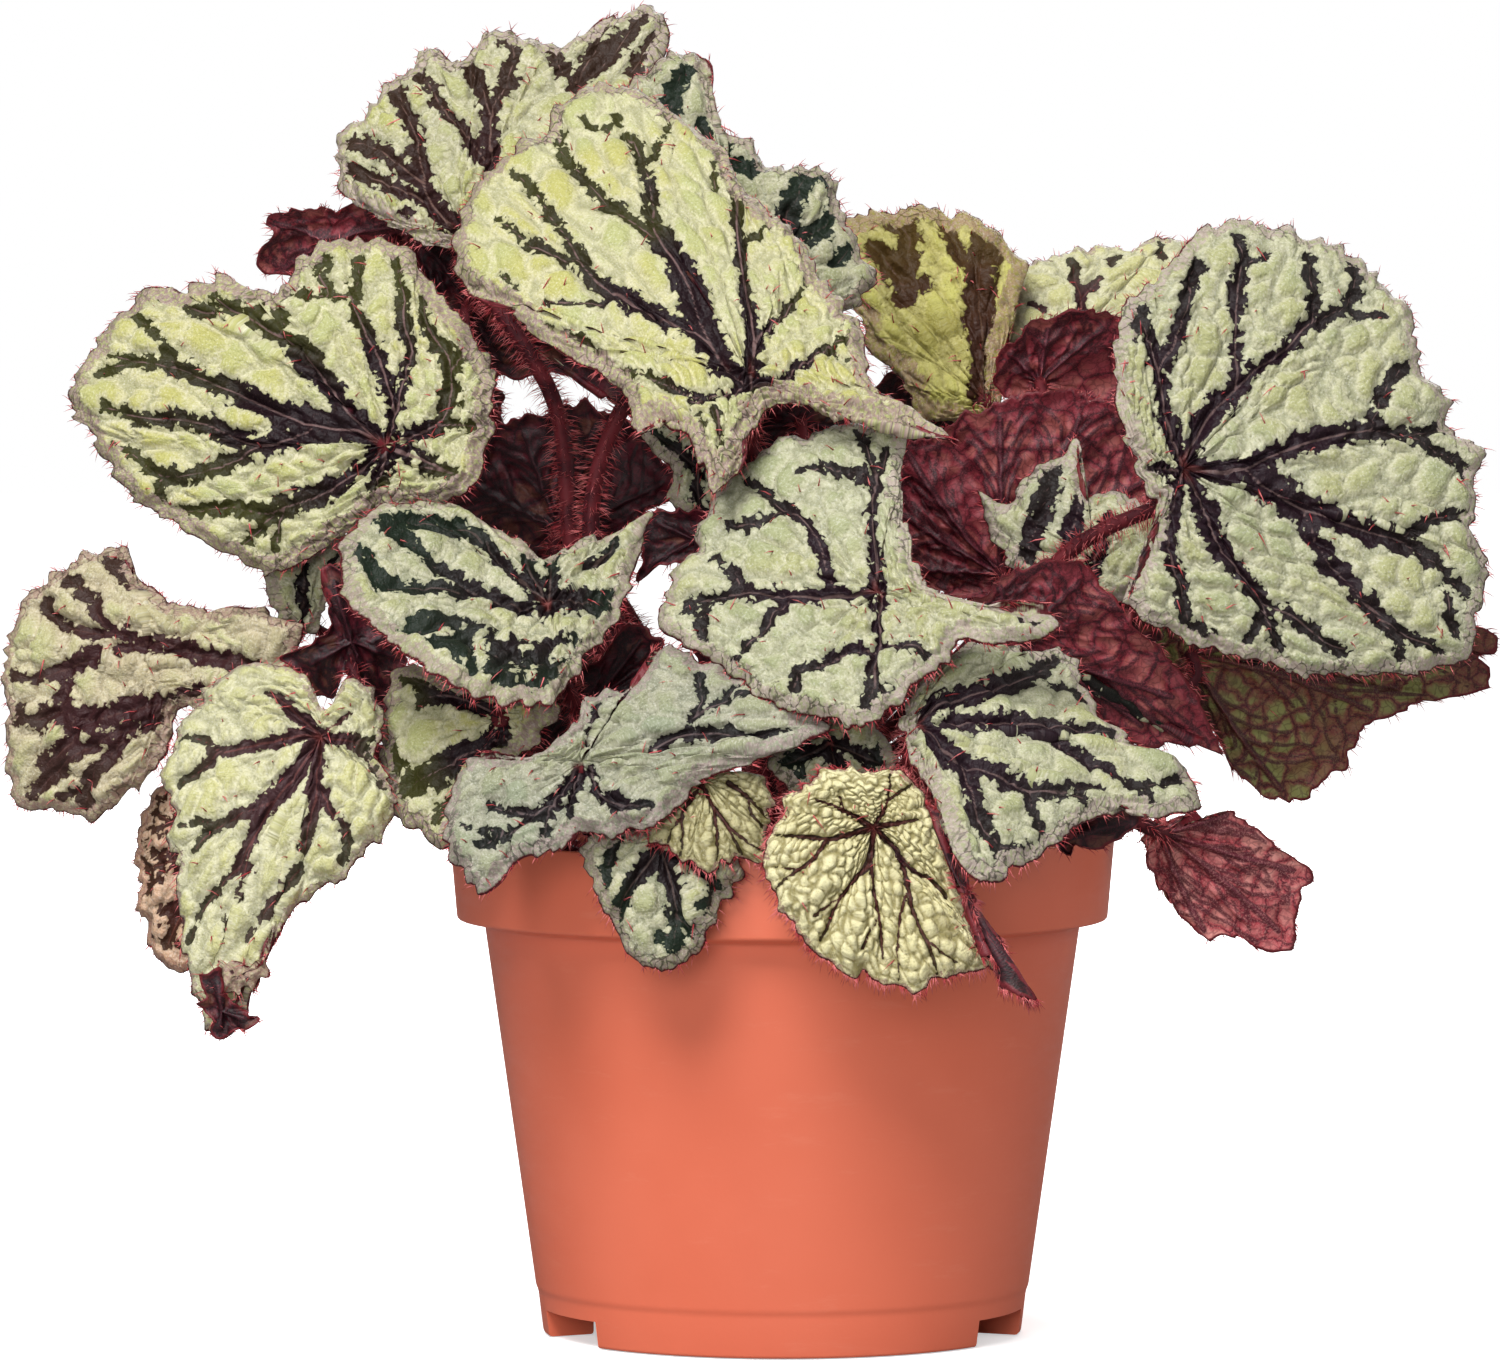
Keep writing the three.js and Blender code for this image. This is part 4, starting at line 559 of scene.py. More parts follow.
class Nodes:
    """Adds nodes to one tree; an input is a number, a colour or another node's output."""

    def __init__(self, tree):
        self.tree = tree

    def make(self, kind, inputs, **settings):
        """Adds a node and returns all its outputs."""
        node = self.tree.nodes.new("ShaderNode" + kind)
        for key, value in settings.items():
            setattr(node, key, value)
        for key, value in dict(inputs).items():
            if isinstance(value, bpy.types.NodeSocket):
                self.tree.links.new(value, node.inputs[key])
            else:
                node.inputs[key].default_value = value
        return node.outputs

    def add(self, kind, inputs=(), output=0, **settings):
        return self.make(kind, inputs, **settings)[output]

    def math(self, operation, *values):
        return self.add("Math", dict(enumerate(values)), operation=operation)

    def step(self, value, low, high, to_low=0.0, to_high=1.0):
        """Eases from to_low to to_high while the value goes from low to high."""
        return self.add("MapRange", {0: value, 1: low, 2: high, 3: to_low, 4: to_high},
                        interpolation_type="SMOOTHSTEP")

    def line(self, value, low, high, to_low=0.0, to_high=1.0):
        """The same as step, in a straight line."""
        return self.add("MapRange", {0: value, 1: low, 2: high, 3: to_low, 4: to_high})

    def mix(self, share, first, second):
        return self.add("Mix", {0: share, 6: first, 7: second}, output=2, data_type="RGBA")

    def noise(self, vector, scale, detail=2.0, roughness=0.5, distortion=0.0):
        return self.add("TexNoise", {"Vector": vector, "Scale": scale, "Detail": detail,
                                     "Roughness": roughness, "Distortion": distortion})

    def bent(self, vector, scale, by):
        """The vector, pushed about by noise, so that what is laid on it has no straight lines."""
        push = self.add("TexNoise", {"Vector": vector, "Scale": scale}, "Color")
        return self.add("VectorMath", {0: push, 1: (by, by, by), 2: vector}, operation="MULTIPLY_ADD")

    def spots(self, vector, scale):
        """How far a point is from the middle of its cell."""
        return self.add("TexVoronoi", {"Vector": vector, "Scale": scale}, "Distance")

    def tiles(self, vector, scale):
        """How far a point is from the border of its cell."""
        return self.add("TexVoronoi", {"Vector": vector, "Scale": scale}, "Distance",
                        feature="DISTANCE_TO_EDGE")

    def bump(self, height, strength, distance):
        return self.add("Bump", {"Height": height, "Strength": strength, "Distance": distance})

    def attribute(self, name, output="Fac"):
        return self.add("Attribute", output=output, attribute_name=name)

    def split(self, vector):
        return self.make("SeparateXYZ", {0: vector})

    def join(self, output, socket):
        self.tree.links.new(output, socket)


def new_material(name, **constants):
    """A material with one shader; returns the material, its nodes and the shader's inputs."""
    material = bpy.data.materials.new(name)
    material.use_nodes = True
    shader = material.node_tree.nodes["Principled BSDF"]
    for key, value in constants.items():
        shader.inputs[key.replace("_", " ")].default_value = value
    return material, Nodes(material.node_tree), shader.inputs


def new_group(name, inputs, outputs):
    """A node group; a name with a capital is a colour. Returns it, its nodes and its two ends."""
    tree = bpy.data.node_groups.new(name, "ShaderNodeTree")
    for way, keys in (("INPUT", inputs), ("OUTPUT", outputs)):
        for key in keys:
            kind = "NodeSocketColor" if key[0].isupper() else "NodeSocketFloat"
            tree.interface.new_socket(key, in_out=way, socket_type=kind)
    start = tree.nodes.new("NodeGroupInput")
    end = tree.nodes.new("NodeGroupOutput")
    return tree, Nodes(tree), start.outputs, end.inputs


def mottled(name, noise, share, first, second, bump=None, **constants):
    """A material of two colours in patches. bump: the scale, detail, strength and distance of its grain."""
    material, m, shader = new_material(name, **constants)
    where = m.add("TexCoord", output=3)
    m.join(m.mix(m.step(m.noise(where, *noise), *share), srgb(*first), srgb(*second)), shader["Base Color"])
    if bump:
        scale, detail, strength, distance = bump
        m.join(m.bump(m.noise(where, scale, detail), strength, distance), shader["Normal"])
    return material


print("white is", srgb(255, 255, 255))

# %% [markdown]
# ## The upper side of a leaf
# A rex begonia's upper side is silver where the cells lift off the layer below and trap air, and dark
# where they lie close, which is along the veins. Each leaf carries, at every point, how far it is from
# a main vein, from the nearest dark band and from the margin, and which pucker it is in. The rule: in a
# band it is purple-brown, then comes a fringe of green, then silver; the margin is a dull mauve belt
# split by dark cracks; and the last bit of the edge is dark red. Noise and the puckers' borders feather
# the bands.

# %% The rule for the upper side
UPPER_COLOURS = ("Silver", "Silver2", "Pale", "Dark", "Dark2", "Fringe", "Margin", "Vein")
# the white of the painted glints on the silver, a dry speck of the margin, the pink of the hub and the dark
# red of the edge
PAINTED_GLINT, DRY_SPECK, PINK_HUB, RED_EDGE = (
    srgb(*c) for c in ((236, 235, 224), (210, 200, 186), (140, 66, 62), (80, 22, 28)))
upper_pattern, g, given, result = new_group(
    "upper_pattern", [*UPPER_COLOURS, "fringe", "speck", "crease", "lobes", "edge"],
    ["Color", "roughness", "height"])


def by_lobes(low, high):
    """A measure that grows with the size of the bands' lobes."""
    return g.line(given["lobes"], 0.0, 2.0, low, high)


place = g.attribute("place", "Vector")
band, vein, rim = g.split(g.attribute("pattern", "Vector"))
reach = g.attribute("reach")
net = g.attribute("net")
bent = g.bent(place, 0.5, 2.0)
patches = g.noise(place, 0.045, 2.0)
ragged = g.noise(place, 0.45, 3.0, 0.62, 0.6)
fine = g.noise(place, 1.3, 2.0, 0.6)
grain = g.noise(place, 2.4, 2.0, 0.6)
scallop = g.spots(bent, 0.42)

# the gap to the dark band, with its edge made ragged, lobed and drawn into the creases
gap = g.math("MULTIPLY_ADD", g.math("SUBTRACT", ragged, 0.5), by_lobes(0.2, 1.8), band)
gap = g.math("MULTIPLY_ADD", g.math("SUBTRACT", 0.45, scallop), given["lobes"], gap)
gap = g.math("MULTIPLY_ADD", g.math("SUBTRACT", 0.45, g.spots(bent, 1.0)), by_lobes(0.3, 1.2), gap)
gap = g.math("MULTIPLY_ADD", g.math("SUBTRACT", fine, 0.5), by_lobes(0.2, 1.3), gap)
gap = g.math("SUBTRACT", gap, g.step(net, 0.0, 0.35, by_lobes(0.1, 0.6), 0.0))
dark_share = g.step(gap, 0.07, -0.07)
fringe_share = g.step(gap, g.line(ragged, 0.35, 0.65, 0.4, 1.6), -0.1)

# silver, paler on the puckers and by the bands, greener and darker in the creases between the puckers,
# partly their own green and partly painted shade, with white specks that are painted glints, and green specks
silver = g.mix(g.step(patches, 0.4, 0.62), given["Silver"], given["Silver2"])
silver = g.mix(g.step(g.math("MULTIPLY_ADD", fine, 0.5, net), 0.75, 0.25, 0.0, 0.75), silver, given["Pale"])
silver = g.mix(g.step(g.math("MULTIPLY_ADD", ragged, 2.0, gap), 3.2, 1.2, 0.0, 0.65), silver, given["Pale"])
# painted shade: the creases between the puckers are darkened toward the fringe's green, partly their own
# colour and partly shade
crease_green_and_shade_share = g.step(net, g.line(given["crease"], 0.5, 0.95, 0.16, 0.36), 0.02, 0.0, given["crease"])
silver = g.mix(crease_green_and_shade_share, silver, given["Fringe"])
# painted glints: fine white specks stand in for the sparkle of the silver
silver = g.mix(g.step(grain, 0.5, 0.75, 0.0, given["speck"]), silver, PAINTED_GLINT)
silver = g.mix(g.step(grain, 0.48, 0.28, 0.0, 0.35), silver, given["Fringe"])

dark = g.mix(g.step(g.math("MULTIPLY_ADD", patches, 0.8, reach), 0.8, 1.3), given["Dark"], given["Dark2"])
dark = g.mix(g.step(grain, 0.55, 0.8, 0.0, 0.3), dark, given["Vein"])
colour = g.mix(g.math("MULTIPLY", fringe_share, given["fringe"]), silver, given["Fringe"])
colour = g.mix(dark_share, colour, dark)

# the margin's belt and its cracks, which are dark in some places and faint in others
into_edge = g.math("MULTIPLY_ADD", g.math("SUBTRACT", ragged, 0.5), 5.0, rim)
into_edge = g.math("DIVIDE", into_edge, given["edge"])
edge_colour = g.mix(g.step(fine, 0.44, 0.66), given["Margin"], given["Silver2"])
edge_colour = g.mix(g.step(grain, 0.5, 0.7, 0.0, 0.35), edge_colour, DRY_SPECK)
colour = g.mix(g.math("MULTIPLY", g.step(into_edge, 1.05, 0.9), 0.9), colour, edge_colour)
crack = g.step(g.tiles(bent, 0.38), g.line(fine, 0.4, 0.6, 0.03, 0.14), 0.0)
crack = g.math("MULTIPLY", crack, g.step(into_edge, 1.3, 1.0))
colour = g.mix(g.math("MULTIPLY", crack, g.step(patches, 0.42, 0.58, 0.2, 0.75)), colour, given["Dark"])

# the veins, the pink around the hub and the dark red of the very edge
vein_line = g.step(vein, g.line(reach, 0.0, 1.0, 0.42, 0.2), 0.08)
vein_line = g.math("MULTIPLY", vein_line, g.line(rim, 2.0, 6.0))
colour = g.mix(g.math("MULTIPLY", vein_line, 0.85), colour, given["Vein"])
colour = g.mix(g.step(reach, 0.1, 0.0, 0.0, 0.6), colour, g.mix(g.step(vein, 1.0, 0.2), colour, PINK_HUB))
colour = g.mix(g.step(g.math("MULTIPLY_ADD", fine, 0.6, rim), 0.75, 0.45), colour, RED_EDGE)
g.join(colour, result["Color"])
g.join(g.line(grain, 0.3, 0.7, 0.42, 0.6), result["roughness"])
g.join(g.math("MULTIPLY_ADD", scallop, -1.6, g.math("MULTIPLY_ADD", grain, 0.4, fine)), result["height"])
print("upper side:", len(upper_pattern.nodes), "nodes")

# %% [markdown]
# ## The underside of a leaf
# Below, the leaf is wine red, glowing pink-red where light comes through and olive where the red layer
# is thin, with a dark net of small veins between thick raised ones.

# %% The rule for the underside
UNDER_COLOURS = ("Lamina", "Lamina2", "Olive", "Net", "Vein")
under_pattern, g, given, result = new_group("under_pattern", [*UNDER_COLOURS, "olive"], ["Color", "height"])
place = g.attribute("place", "Vector")
_, vein, rim = g.split(g.attribute("pattern", "Vector"))
twig = g.attribute("twig")
patches = g.noise(place, 0.06, 2.0)
ragged = g.noise(place, 0.4, 3.0, 0.6, 0.5)
grain = g.noise(place, 3.0, 2.0, 0.6)
bent = g.bent(place, 0.4, 2.5)
tiles = g.tiles(bent, 0.18)

inside = g.step(g.math("MULTIPLY_ADD", ragged, 0.3, tiles), 0.14, 0.42)
inside = g.math("MULTIPLY", inside, g.line(patches, 0.35, 0.65, 0.3, 1.0))
colour = g.mix(inside, given["Lamina"], given["Lamina2"])
olive_share = g.math("MULTIPLY", g.step(tiles, 0.06, 0.2), g.step(patches, 0.42, 0.54))
colour = g.mix(g.math("MULTIPLY", olive_share, given["olive"]), colour, given["Olive"])
for share in (g.step(g.tiles(bent, 0.55), 0.12, 0.02, 0.0, 0.45),
              g.step(tiles, g.line(ragged, 0.3, 0.7, 0.1, 0.04), 0.0, 0.0, 0.9),
              g.step(twig, 0.6, 0.25, 0.0, 0.9), g.step(vein, 1.0, 0.5)):
    colour = g.mix(share, colour, given["Net"])
colour = g.mix(g.step(vein, 0.4, 0.1, 0.0, 0.7), colour, given["Vein"])
colour = g.mix(g.step(grain, 0.45, 0.75, 0.0, 0.4), colour, given["Lamina2"])
colour = g.mix(g.step(rim, 0.6, 0.3), colour, srgb(110, 30, 38))
g.join(colour, result["Color"])
g.join(g.math("ADD", grain, ragged), result["height"])
print("underside:", len(under_pattern.nodes), "nodes")

# %% [markdown]
# ## Eleven coats for the upper side, four for the underside
# The same rule paints every leaf, but leaves of different age and place differ in colour: the newest
# and best-lit ones are yellow-green and silver, the shaded ones blue-green, and some coats are painted
# light and shade: two are darker copies of young and sage for leaves in shadow, and olive paints the
# light through a backlit leaf. Each coat gives the rule's colours in its order, and then how strong the
# fringe, the painted glints and the green and painted shade of the creases are, how lobed the bands,
# and how wide the margin's belt in mm.

# %% The leaf materials
UPPER_COATS = {
    "lime": ([(180, 176, 104), (174, 176, 120), (206, 200, 170), (27, 11, 17), (56, 56, 22), (110, 112, 60),
        (154, 130, 124), (118, 92, 90)], dict(fringe=0.5, edge=3.4)),
    "young": ([(224, 217, 170), (214, 206, 156), (218, 208, 166), (44, 24, 16), (52, 42, 20),
        (130, 120, 68), (160, 130, 112), (84, 44, 40)],
        dict(fringe=0.6, speck=0.15, crease=0.85, lobes=0.4, edge=0.7)),
    # a darker copy of young, painted shade, for the young leaf in shadow
    "young_shade": ([(188, 181, 136), (176, 168, 122), (184, 174, 134), (40, 22, 15), (48, 38, 18),
        (106, 98, 52), (150, 122, 106), (80, 42, 38)],
        dict(fringe=0.6, speck=0.15, crease=0.85, lobes=0.4, edge=0.7)),
    "pale": ([(194, 191, 134), (184, 182, 132), (210, 206, 178), (64, 40, 43), (60, 57, 40), (122, 122, 80),
        (162, 142, 130), (104, 62, 60)], dict(fringe=0.4, lobes=1.4, edge=1.2)),
    "sage": ([(168, 168, 120), (158, 162, 122), (200, 196, 170), (32, 15, 24), (32, 26, 24), (98, 104, 68),
        (172, 156, 146), (108, 86, 84)], dict(fringe=0.5, edge=2.6)),
    # a greyer, darker copy of sage, painted shade, for the folded leaf in front, which lies in shadow
    "dusk": ([(152, 154, 122), (142, 148, 122), (180, 176, 158), (24, 12, 18), (26, 28, 24), (88, 96, 70),
        (154, 138, 132), (100, 84, 84)], dict(fringe=0.5, edge=2.6)),
    "jade": ([(166, 166, 116), (156, 158, 118), (196, 191, 166), (24, 13, 16), (22, 34, 22), (82, 92, 56),
        (158, 142, 130), (80, 64, 60)], dict(fringe=0.5, edge=2.4)),
    "moss": ([(172, 172, 106), (166, 166, 118), (200, 194, 168), (44, 22, 22), (50, 34, 24), (100, 104, 58),
        (170, 152, 144), (112, 86, 78)], dict(fringe=0.5, edge=2.8)),
    "tan": ([(182, 182, 128), (180, 168, 134), (200, 188, 160), (56, 28, 30), (56, 38, 30), (98, 84, 48),
        (158, 130, 116), (80, 52, 48)], dict(fringe=0.6, edge=2.4)),
    "russet": ([(206, 166, 134), (190, 152, 120), (206, 176, 152), (60, 26, 22), (62, 38, 24),
        (120, 96, 64), (170, 128, 110), (96, 56, 46)], dict(fringe=0.6, edge=2.2)),
    # its yellow-green is partly the leaf's own and partly the painted light of a backlit leaf shining through
    "olive": ([(188, 184, 98), (150, 142, 72), (192, 184, 118), (58, 32, 20), (74, 56, 24), (116, 108, 48),
        (158, 132, 104), (84, 58, 42)], dict(fringe=0.9, speck=0.1, edge=4.0)),
}
UNDER_COATS = {
    # the underside coats also carry light: maroon is the wine red darkened as painted shade, for the
    # undersides deep in the crown, and is also the back of every leaf that shows its face; pink is lighter
    # all over, partly painted light, for the lit underside on the right
    "maroon": ([(62, 11, 25), (112, 32, 46), (98, 84, 50), (24, 5, 11), (58, 16, 28)], 0.4),
    "pink": ([(172, 56, 68), (232, 160, 152), (134, 110, 70), (84, 20, 34), (110, 40, 54)], 0.1),
    "rose": ([(114, 24, 38), (170, 76, 86), (134, 110, 70), (50, 8, 20), (88, 28, 42)], 0.25),
    "olive_rose": ([(122, 50, 52), (150, 132, 84), (140, 142, 82), (66, 16, 26), (96, 38, 44)], 1.0),
}


def upper_material(coat, colours, fringe, speck=0.35, crease=0.5, lobes=2.6, edge=1.8):
    material, m, shader = new_material("leaf_" + coat, Specular_IOR_Level=0.22)
    paint = dict(zip(UPPER_COLOURS, [srgb(*c) for c in colours]))
    out = m.make("Group", paint | dict(fringe=fringe, speck=speck, crease=crease, lobes=lobes, edge=edge),
                 node_tree=upper_pattern)
    m.join(out["Color"], shader["Base Color"])
    m.join(out["roughness"], shader["Roughness"])
    m.join(m.bump(out["height"], 0.6, 0.0006), shader["Normal"])
    return material


def under_material(coat, colours, olive):
    material, m, shader = new_material("underside_" + coat, Roughness=0.5, Specular_IOR_Level=0.4)
    paint = dict(zip(UNDER_COLOURS, [srgb(*c) for c in colours]))
    out = m.make("Group", paint | dict(olive=olive), node_tree=under_pattern)
    m.join(out["Color"], shader["Base Color"])
    m.join(m.bump(out["height"], 0.4, 0.0005), shader["Normal"])
    return material


UPPER = {coat: upper_material(coat, colours, **rest) for coat, (colours, rest) in UPPER_COATS.items()}
UNDER = {coat: under_material(coat, colours, olive) for coat, (colours, olive) in UNDER_COATS.items()}
print("leaf materials:", len(UPPER) + len(UNDER))

# %% [markdown]
# ## The lie of a blade
# A blade is a skin half a millimetre thick with a veined top, a veined back and a rolled margin. It
# could be carved from a thick slab; here it is a fan of even rings from its middle to the outline,
# since veins run outward and the outline then has exactly the teeth it should have. A leaf at the back
# has no outline of its own but a plain heart shape. Each blade lies as its solid does: turned, lifted,
# bent back at the tip and the sides, and swollen between its main veins.

# %% The outline and the lie of a blade
SKIN = 0.5                     # thickness of a blade
MESH, YOUNG_MESH = 0.7, 0.4    # distance between the points of a blade
YOUNG = 3                      # a leaf with smaller bumps than this is a young one
VALLEY = 4                     # half the width of the valley along a main vein
WAVE = 0.7                     # height of the margin's waves from corner to corner
HEART = dict(corners=18, point=0.54, point_angle=0.5, notch=0.34, notch_angle=0.28, teeth=0.03,
             vein_angles=(0, 0.6, -0.6, 1.3, -1.3, 2.2, -2.2), vein_share=0.85)


def heart_shape(blade):
    """The outline and veins of a plain leaf seen from behind, from its hub and its tip."""
    axis = blade["tip"] - blade["hub"]
    side = np.array([-axis[1], axis[0]])

    def at(angle, share):
        point = HEART["point"] * np.exp(-(np.abs(angle) / HEART["point_angle"]) ** 1.2)
        notch = HEART["notch"] * np.exp(-((np.pi - np.abs(angle)) / HEART["notch_angle"]) ** 2)
        reach = share * (1 - HEART["point"] + point - notch) * (1 + blade["skew"] * np.sin(angle))
        return blade["hub"] + np.outer(reach * np.cos(angle), axis) + np.outer(reach * np.sin(angle), side)

    k = np.arange(HEART["corners"])
    return (at(np.pi * (2 * k / HEART["corners"] - 1), 1 + HEART["teeth"] * np.where(k % 2, 1, -1)),
            at(np.array(HEART["vein_angles"]), HEART["vein_share"]))


def blade_depth(blade, p, share):
    """The depth y of a blade at picture points p that lie at a share of the way to its margin."""
    scale = FOCAL / (blade["y"] - EYE[1])
    turn, lift = (math.tan(math.radians(a)) for a in blade["face"])
    lift /= math.cos(math.radians(blade["face"][0]))
    axis = (blade["tip"] - blade["hub"]) / scale
    length = np.linalg.norm(axis)
    axis /= length
    offset = (p - blade["hub"]) / scale
    cross = offset[..., 0] * axis[1] - offset[..., 1] * axis[0]
    from_hub = (blade["corners"] - blade["hub"]) / scale
    width = np.abs(from_hub[:, 0] * axis[1] - from_hub[:, 1] * axis[0]).max()
    gap = np.full(p.shape[:-1], 1e9)
    for end in (blade["vein_ends"] - blade["hub"]) / scale:
        t = np.clip(offset @ end / (end @ end), 0, 1)
        gap = np.minimum(gap, np.linalg.norm(offset - t[..., None] * end, axis=-1))
    puff = blade["puff"] * (1 if blade["under"] else -1)
    swell = puff * (1 - np.exp(-(gap / VALLEY) ** 2)) * np.minimum(1, 3 * (1.1 - share))
    along = np.maximum(offset @ axis, 0) / length
    return (blade["y"] + turn * offset[..., 0] - lift * offset[..., 1] + blade["sag"] * along ** 2
            + blade["cup"] * (cross / width) ** 2 + swell)


def blade_fan(blade, number):
    """The fan of picture points that a blade is made on: rows of them from its core to its margin."""
    if blade["edge"] is None:
        corners, vein_ends = heart_shape(blade)
        blade["under"] = True
    else:
        corners, vein_ends = pairs(blade["edge"]), pairs(blade["veins"])
    core, scale = blade["core"], FOCAL / (blade["y"] - EYE[1])
    run = smooth(corners, 8, closed=True)[2]
    mesh = YOUNG_MESH if blade["bumps"] < YOUNG else MESH
    around = int(np.clip(run / scale / mesh, 64, 420))
    outline, passed, _ = smooth(corners, around, closed=True)
    # the run of the outline bent into a circle, so that lumps laid along it join up
    turn = 2 * np.pi * np.arange(around) / around
    ring = np.stack([np.cos(turn), np.sin(turn)], 1) * run / scale / (2 * np.pi)
    outward = outline - core
    outward /= np.linalg.norm(outward, axis=1)[:, None]
    teeth = 1.1 * lumps(ring, 3.2, number + 11) + 1.0 * lumps(ring, 1.5, number + 12)
    outline = outline + outward * (teeth * scale)[:, None]
    mean = np.linalg.norm(outline - core, axis=1).mean() / scale
    rows = int(np.clip(mean / mesh, 10, 100))
    share = (np.arange(rows + 1) / rows)[:, None]
    spokes = outline - core
    bend = 0.05 * lumps(ring, 14.0, number + 13)
    side = np.stack([-spokes[:, 1], spokes[:, 0]], 1) * bend[:, None]
    p = core + share[..., None] * spokes + (share * (1 - share))[..., None] * side * 4
    blade.update(corners=corners, vein_ends=vein_ends, around=around, rows=rows, passed=passed, ring=ring,
                 outward=outward, p=p, share=np.repeat(share, around, axis=1), length=run / scale, mean=mean)


def blade_lie(blade):
    """Carries the fan to its depth, and finds its normals and its flat coordinates."""
    passed, share, count = blade["passed"], blade["share"], len(blade["corners"])
    corner = np.floor(passed).astype(int)
    wave = np.where((np.arange(count + 1) % count + blade["rings"] - 1) % 2, WAVE, -WAVE)
    ease = 0.5 - 0.5 * np.cos(np.pi * (passed - corner))
    wave = wave[corner % count] * (1 - ease) + wave[(corner + 1) % count] * ease
    skin = seen_at(blade["p"], blade_depth(blade, blade["p"], share) + wave * share ** 3)
    out = np.gradient(skin, axis=0)
    turn = np.roll(skin, -1, axis=1) - np.roll(skin, 1, axis=1)
    normal = np.cross(out, turn)
    normal[0] = normal[1].mean(axis=0)
    normal /= np.linalg.norm(normal, axis=2)[..., None] + 1e-9
    facing = np.sign(((EYE - skin) * normal).sum(axis=2).mean())
    middle = skin.reshape(-1, 3).mean(axis=0)
    plane = np.linalg.svd((skin.reshape(-1, 3) - middle)[::7], full_matrices=False)[2][:2]
    blade.update(skin=skin, normal=normal * facing, facing=facing, middle=middle, plane=plane,
                 flat=(skin - middle) @ plane.T)


print("a plain leaf's first corner:", heart_shape(LEAVES["back_top"])[0][0].round(1).tolist())

# %% [markdown]
# ## Veins and bands
# A leaf in front has the bands of its own list. On the others the main veins follow lines of the fan,
# so a groove never zigzags, and side veins leave them in turn, left and right, and bend toward the
# margin. What the paint and the grooves need of them is only how far every point is from the nearest.

# %% The veins of a blade
BRANCH_STARTS = (0.2, 0.38, 0.54, 0.7)                # where side veins leave a main vein
MAIN_BAND, SIDE_BAND = np.array([1.5, 1.3, 0.5]), np.array([0.3, 0.05])      # half widths of plain bands


def line_gaps(points, lines):
    """How far points are from the nearest of some lines, and from the edge of the nearest band."""
    p = points.reshape(-1, 1, 2)
    to_line, to_band = np.full(len(p), 99.0), np.full(len(p), 99.0)
    for widths, line in lines:
        run = smooth(line, 8)[2]
        stops = smooth(line, max(4, int(run * 0.8)))[0]
        a, ab = stops[:-1], np.diff(stops, axis=0)
        t = np.clip(((p - a) * ab).sum(axis=2) / ((ab ** 2).sum(axis=1) + 1e-9), 0, 1)
        d = np.linalg.norm(p - a - t[..., None] * ab, axis=2)
        place = (np.arange(len(a)) + t) / len(a)
        count = max(2, len(widths))
        width = np.interp(place, np.linspace(0, 1, count), np.resize(widths, count))
        if widths[0] < 0:
            to_band = np.maximum(to_band, (-width - d).max(axis=1))
            continue
        to_line = np.minimum(to_line, d.min(axis=1))
        # thin bands are kept from breaking up into blotches where the paint makes edges ragged
        steady = 1 + 0.7 * np.exp(-(width / 0.8) ** 2)
        to_band = np.minimum(to_band, ((d - width) * steady).min(axis=1))
    return to_line.reshape(points.shape[:-1]), to_band.reshape(points.shape[:-1])


def plain_veins(blade):
    """The main and the side veins of a leaf that has no bands of its own, in flat coordinates."""
    flat, around, rows = blade["flat"], blade["around"], blade["rows"]
    ways = [vein - blade["core"] for vein in blade["vein_ends"]]
    ends = [int(np.argmax(blade["outward"] @ (way / np.linalg.norm(way)))) for way in ways]
    main, twigs = [], []
    for end in ends:
        main.append((MAIN_BAND, flat[:int(0.95 * rows), end][::3]))
        room = min([abs((end - e + around // 2) % around - around // 2) for e in ends if e != end]
                   + [around // 5])
        for start in BRANCH_STARTS:
            for way in (-1, 1):
                t = np.linspace(0, 1, 7)
                column = np.round(end + way * t ** 1.15 * room * (0.3 + 0.3 * start)).astype(int) % around
                row = np.minimum(0.93, start + 0.04 * way + t * (0.42 - 0.18 * start))
                twigs.append((SIDE_BAND, flat[np.round(row * rows).astype(int), column]))
    return main, twigs


def vein_gaps(blade):
    """How far every point is from a main vein, from a side vein, and from the edge of a dark band."""
    if blade["name"] not in BANDS:
        main, twigs = plain_veins(blade)
        vein, main_band = line_gaps(blade["flat"], main)
        twig, side_band = line_gaps(blade["flat"], twigs)
        return vein, twig, np.minimum(main_band, side_band)
    bands = []
    for widths, line in read_bands(BANDS[blade["name"]]):
        on_skin = seen_at(line, blade_depth(blade, line, 0.5))
        bands.append((widths * blade["dark"], (on_skin - blade["middle"]) @ blade["plane"].T))
    vein, band = line_gaps(blade["flat"], bands)
    return vein, vein, band


print("a main vein has", 2 * len(BRANCH_STARTS), "side veins")

# %% [markdown]
# ## Puckers and the margin
# The skin is pushed up between the veins and down along them, which is what makes a begonia leaf look
# quilted. Puckers are cells with soft borders, larger on old leaves and small and round on young ones.
# The margin thins out, rolls down and ruffles. The blade's own solid is smooth, so all this is here.

# %% The relief of a blade
GROOVE, CORD, TWIG_CORD = 0.4, 0.6, 0.22           # depth of a vein above, heights of veins below
MARGIN_ROLL, RUFFLE, SWELL, HEAVE = 0.9, 0.6, 0.9, 0.9
UNDER_PUCKER = 0.55                                # height of a pucker seen from below, as a share
NEAR_ALONG = [*range(-16, 17), *range(-64, -16, 4), *range(20, 68, 4)]      # margin points tried for the rim


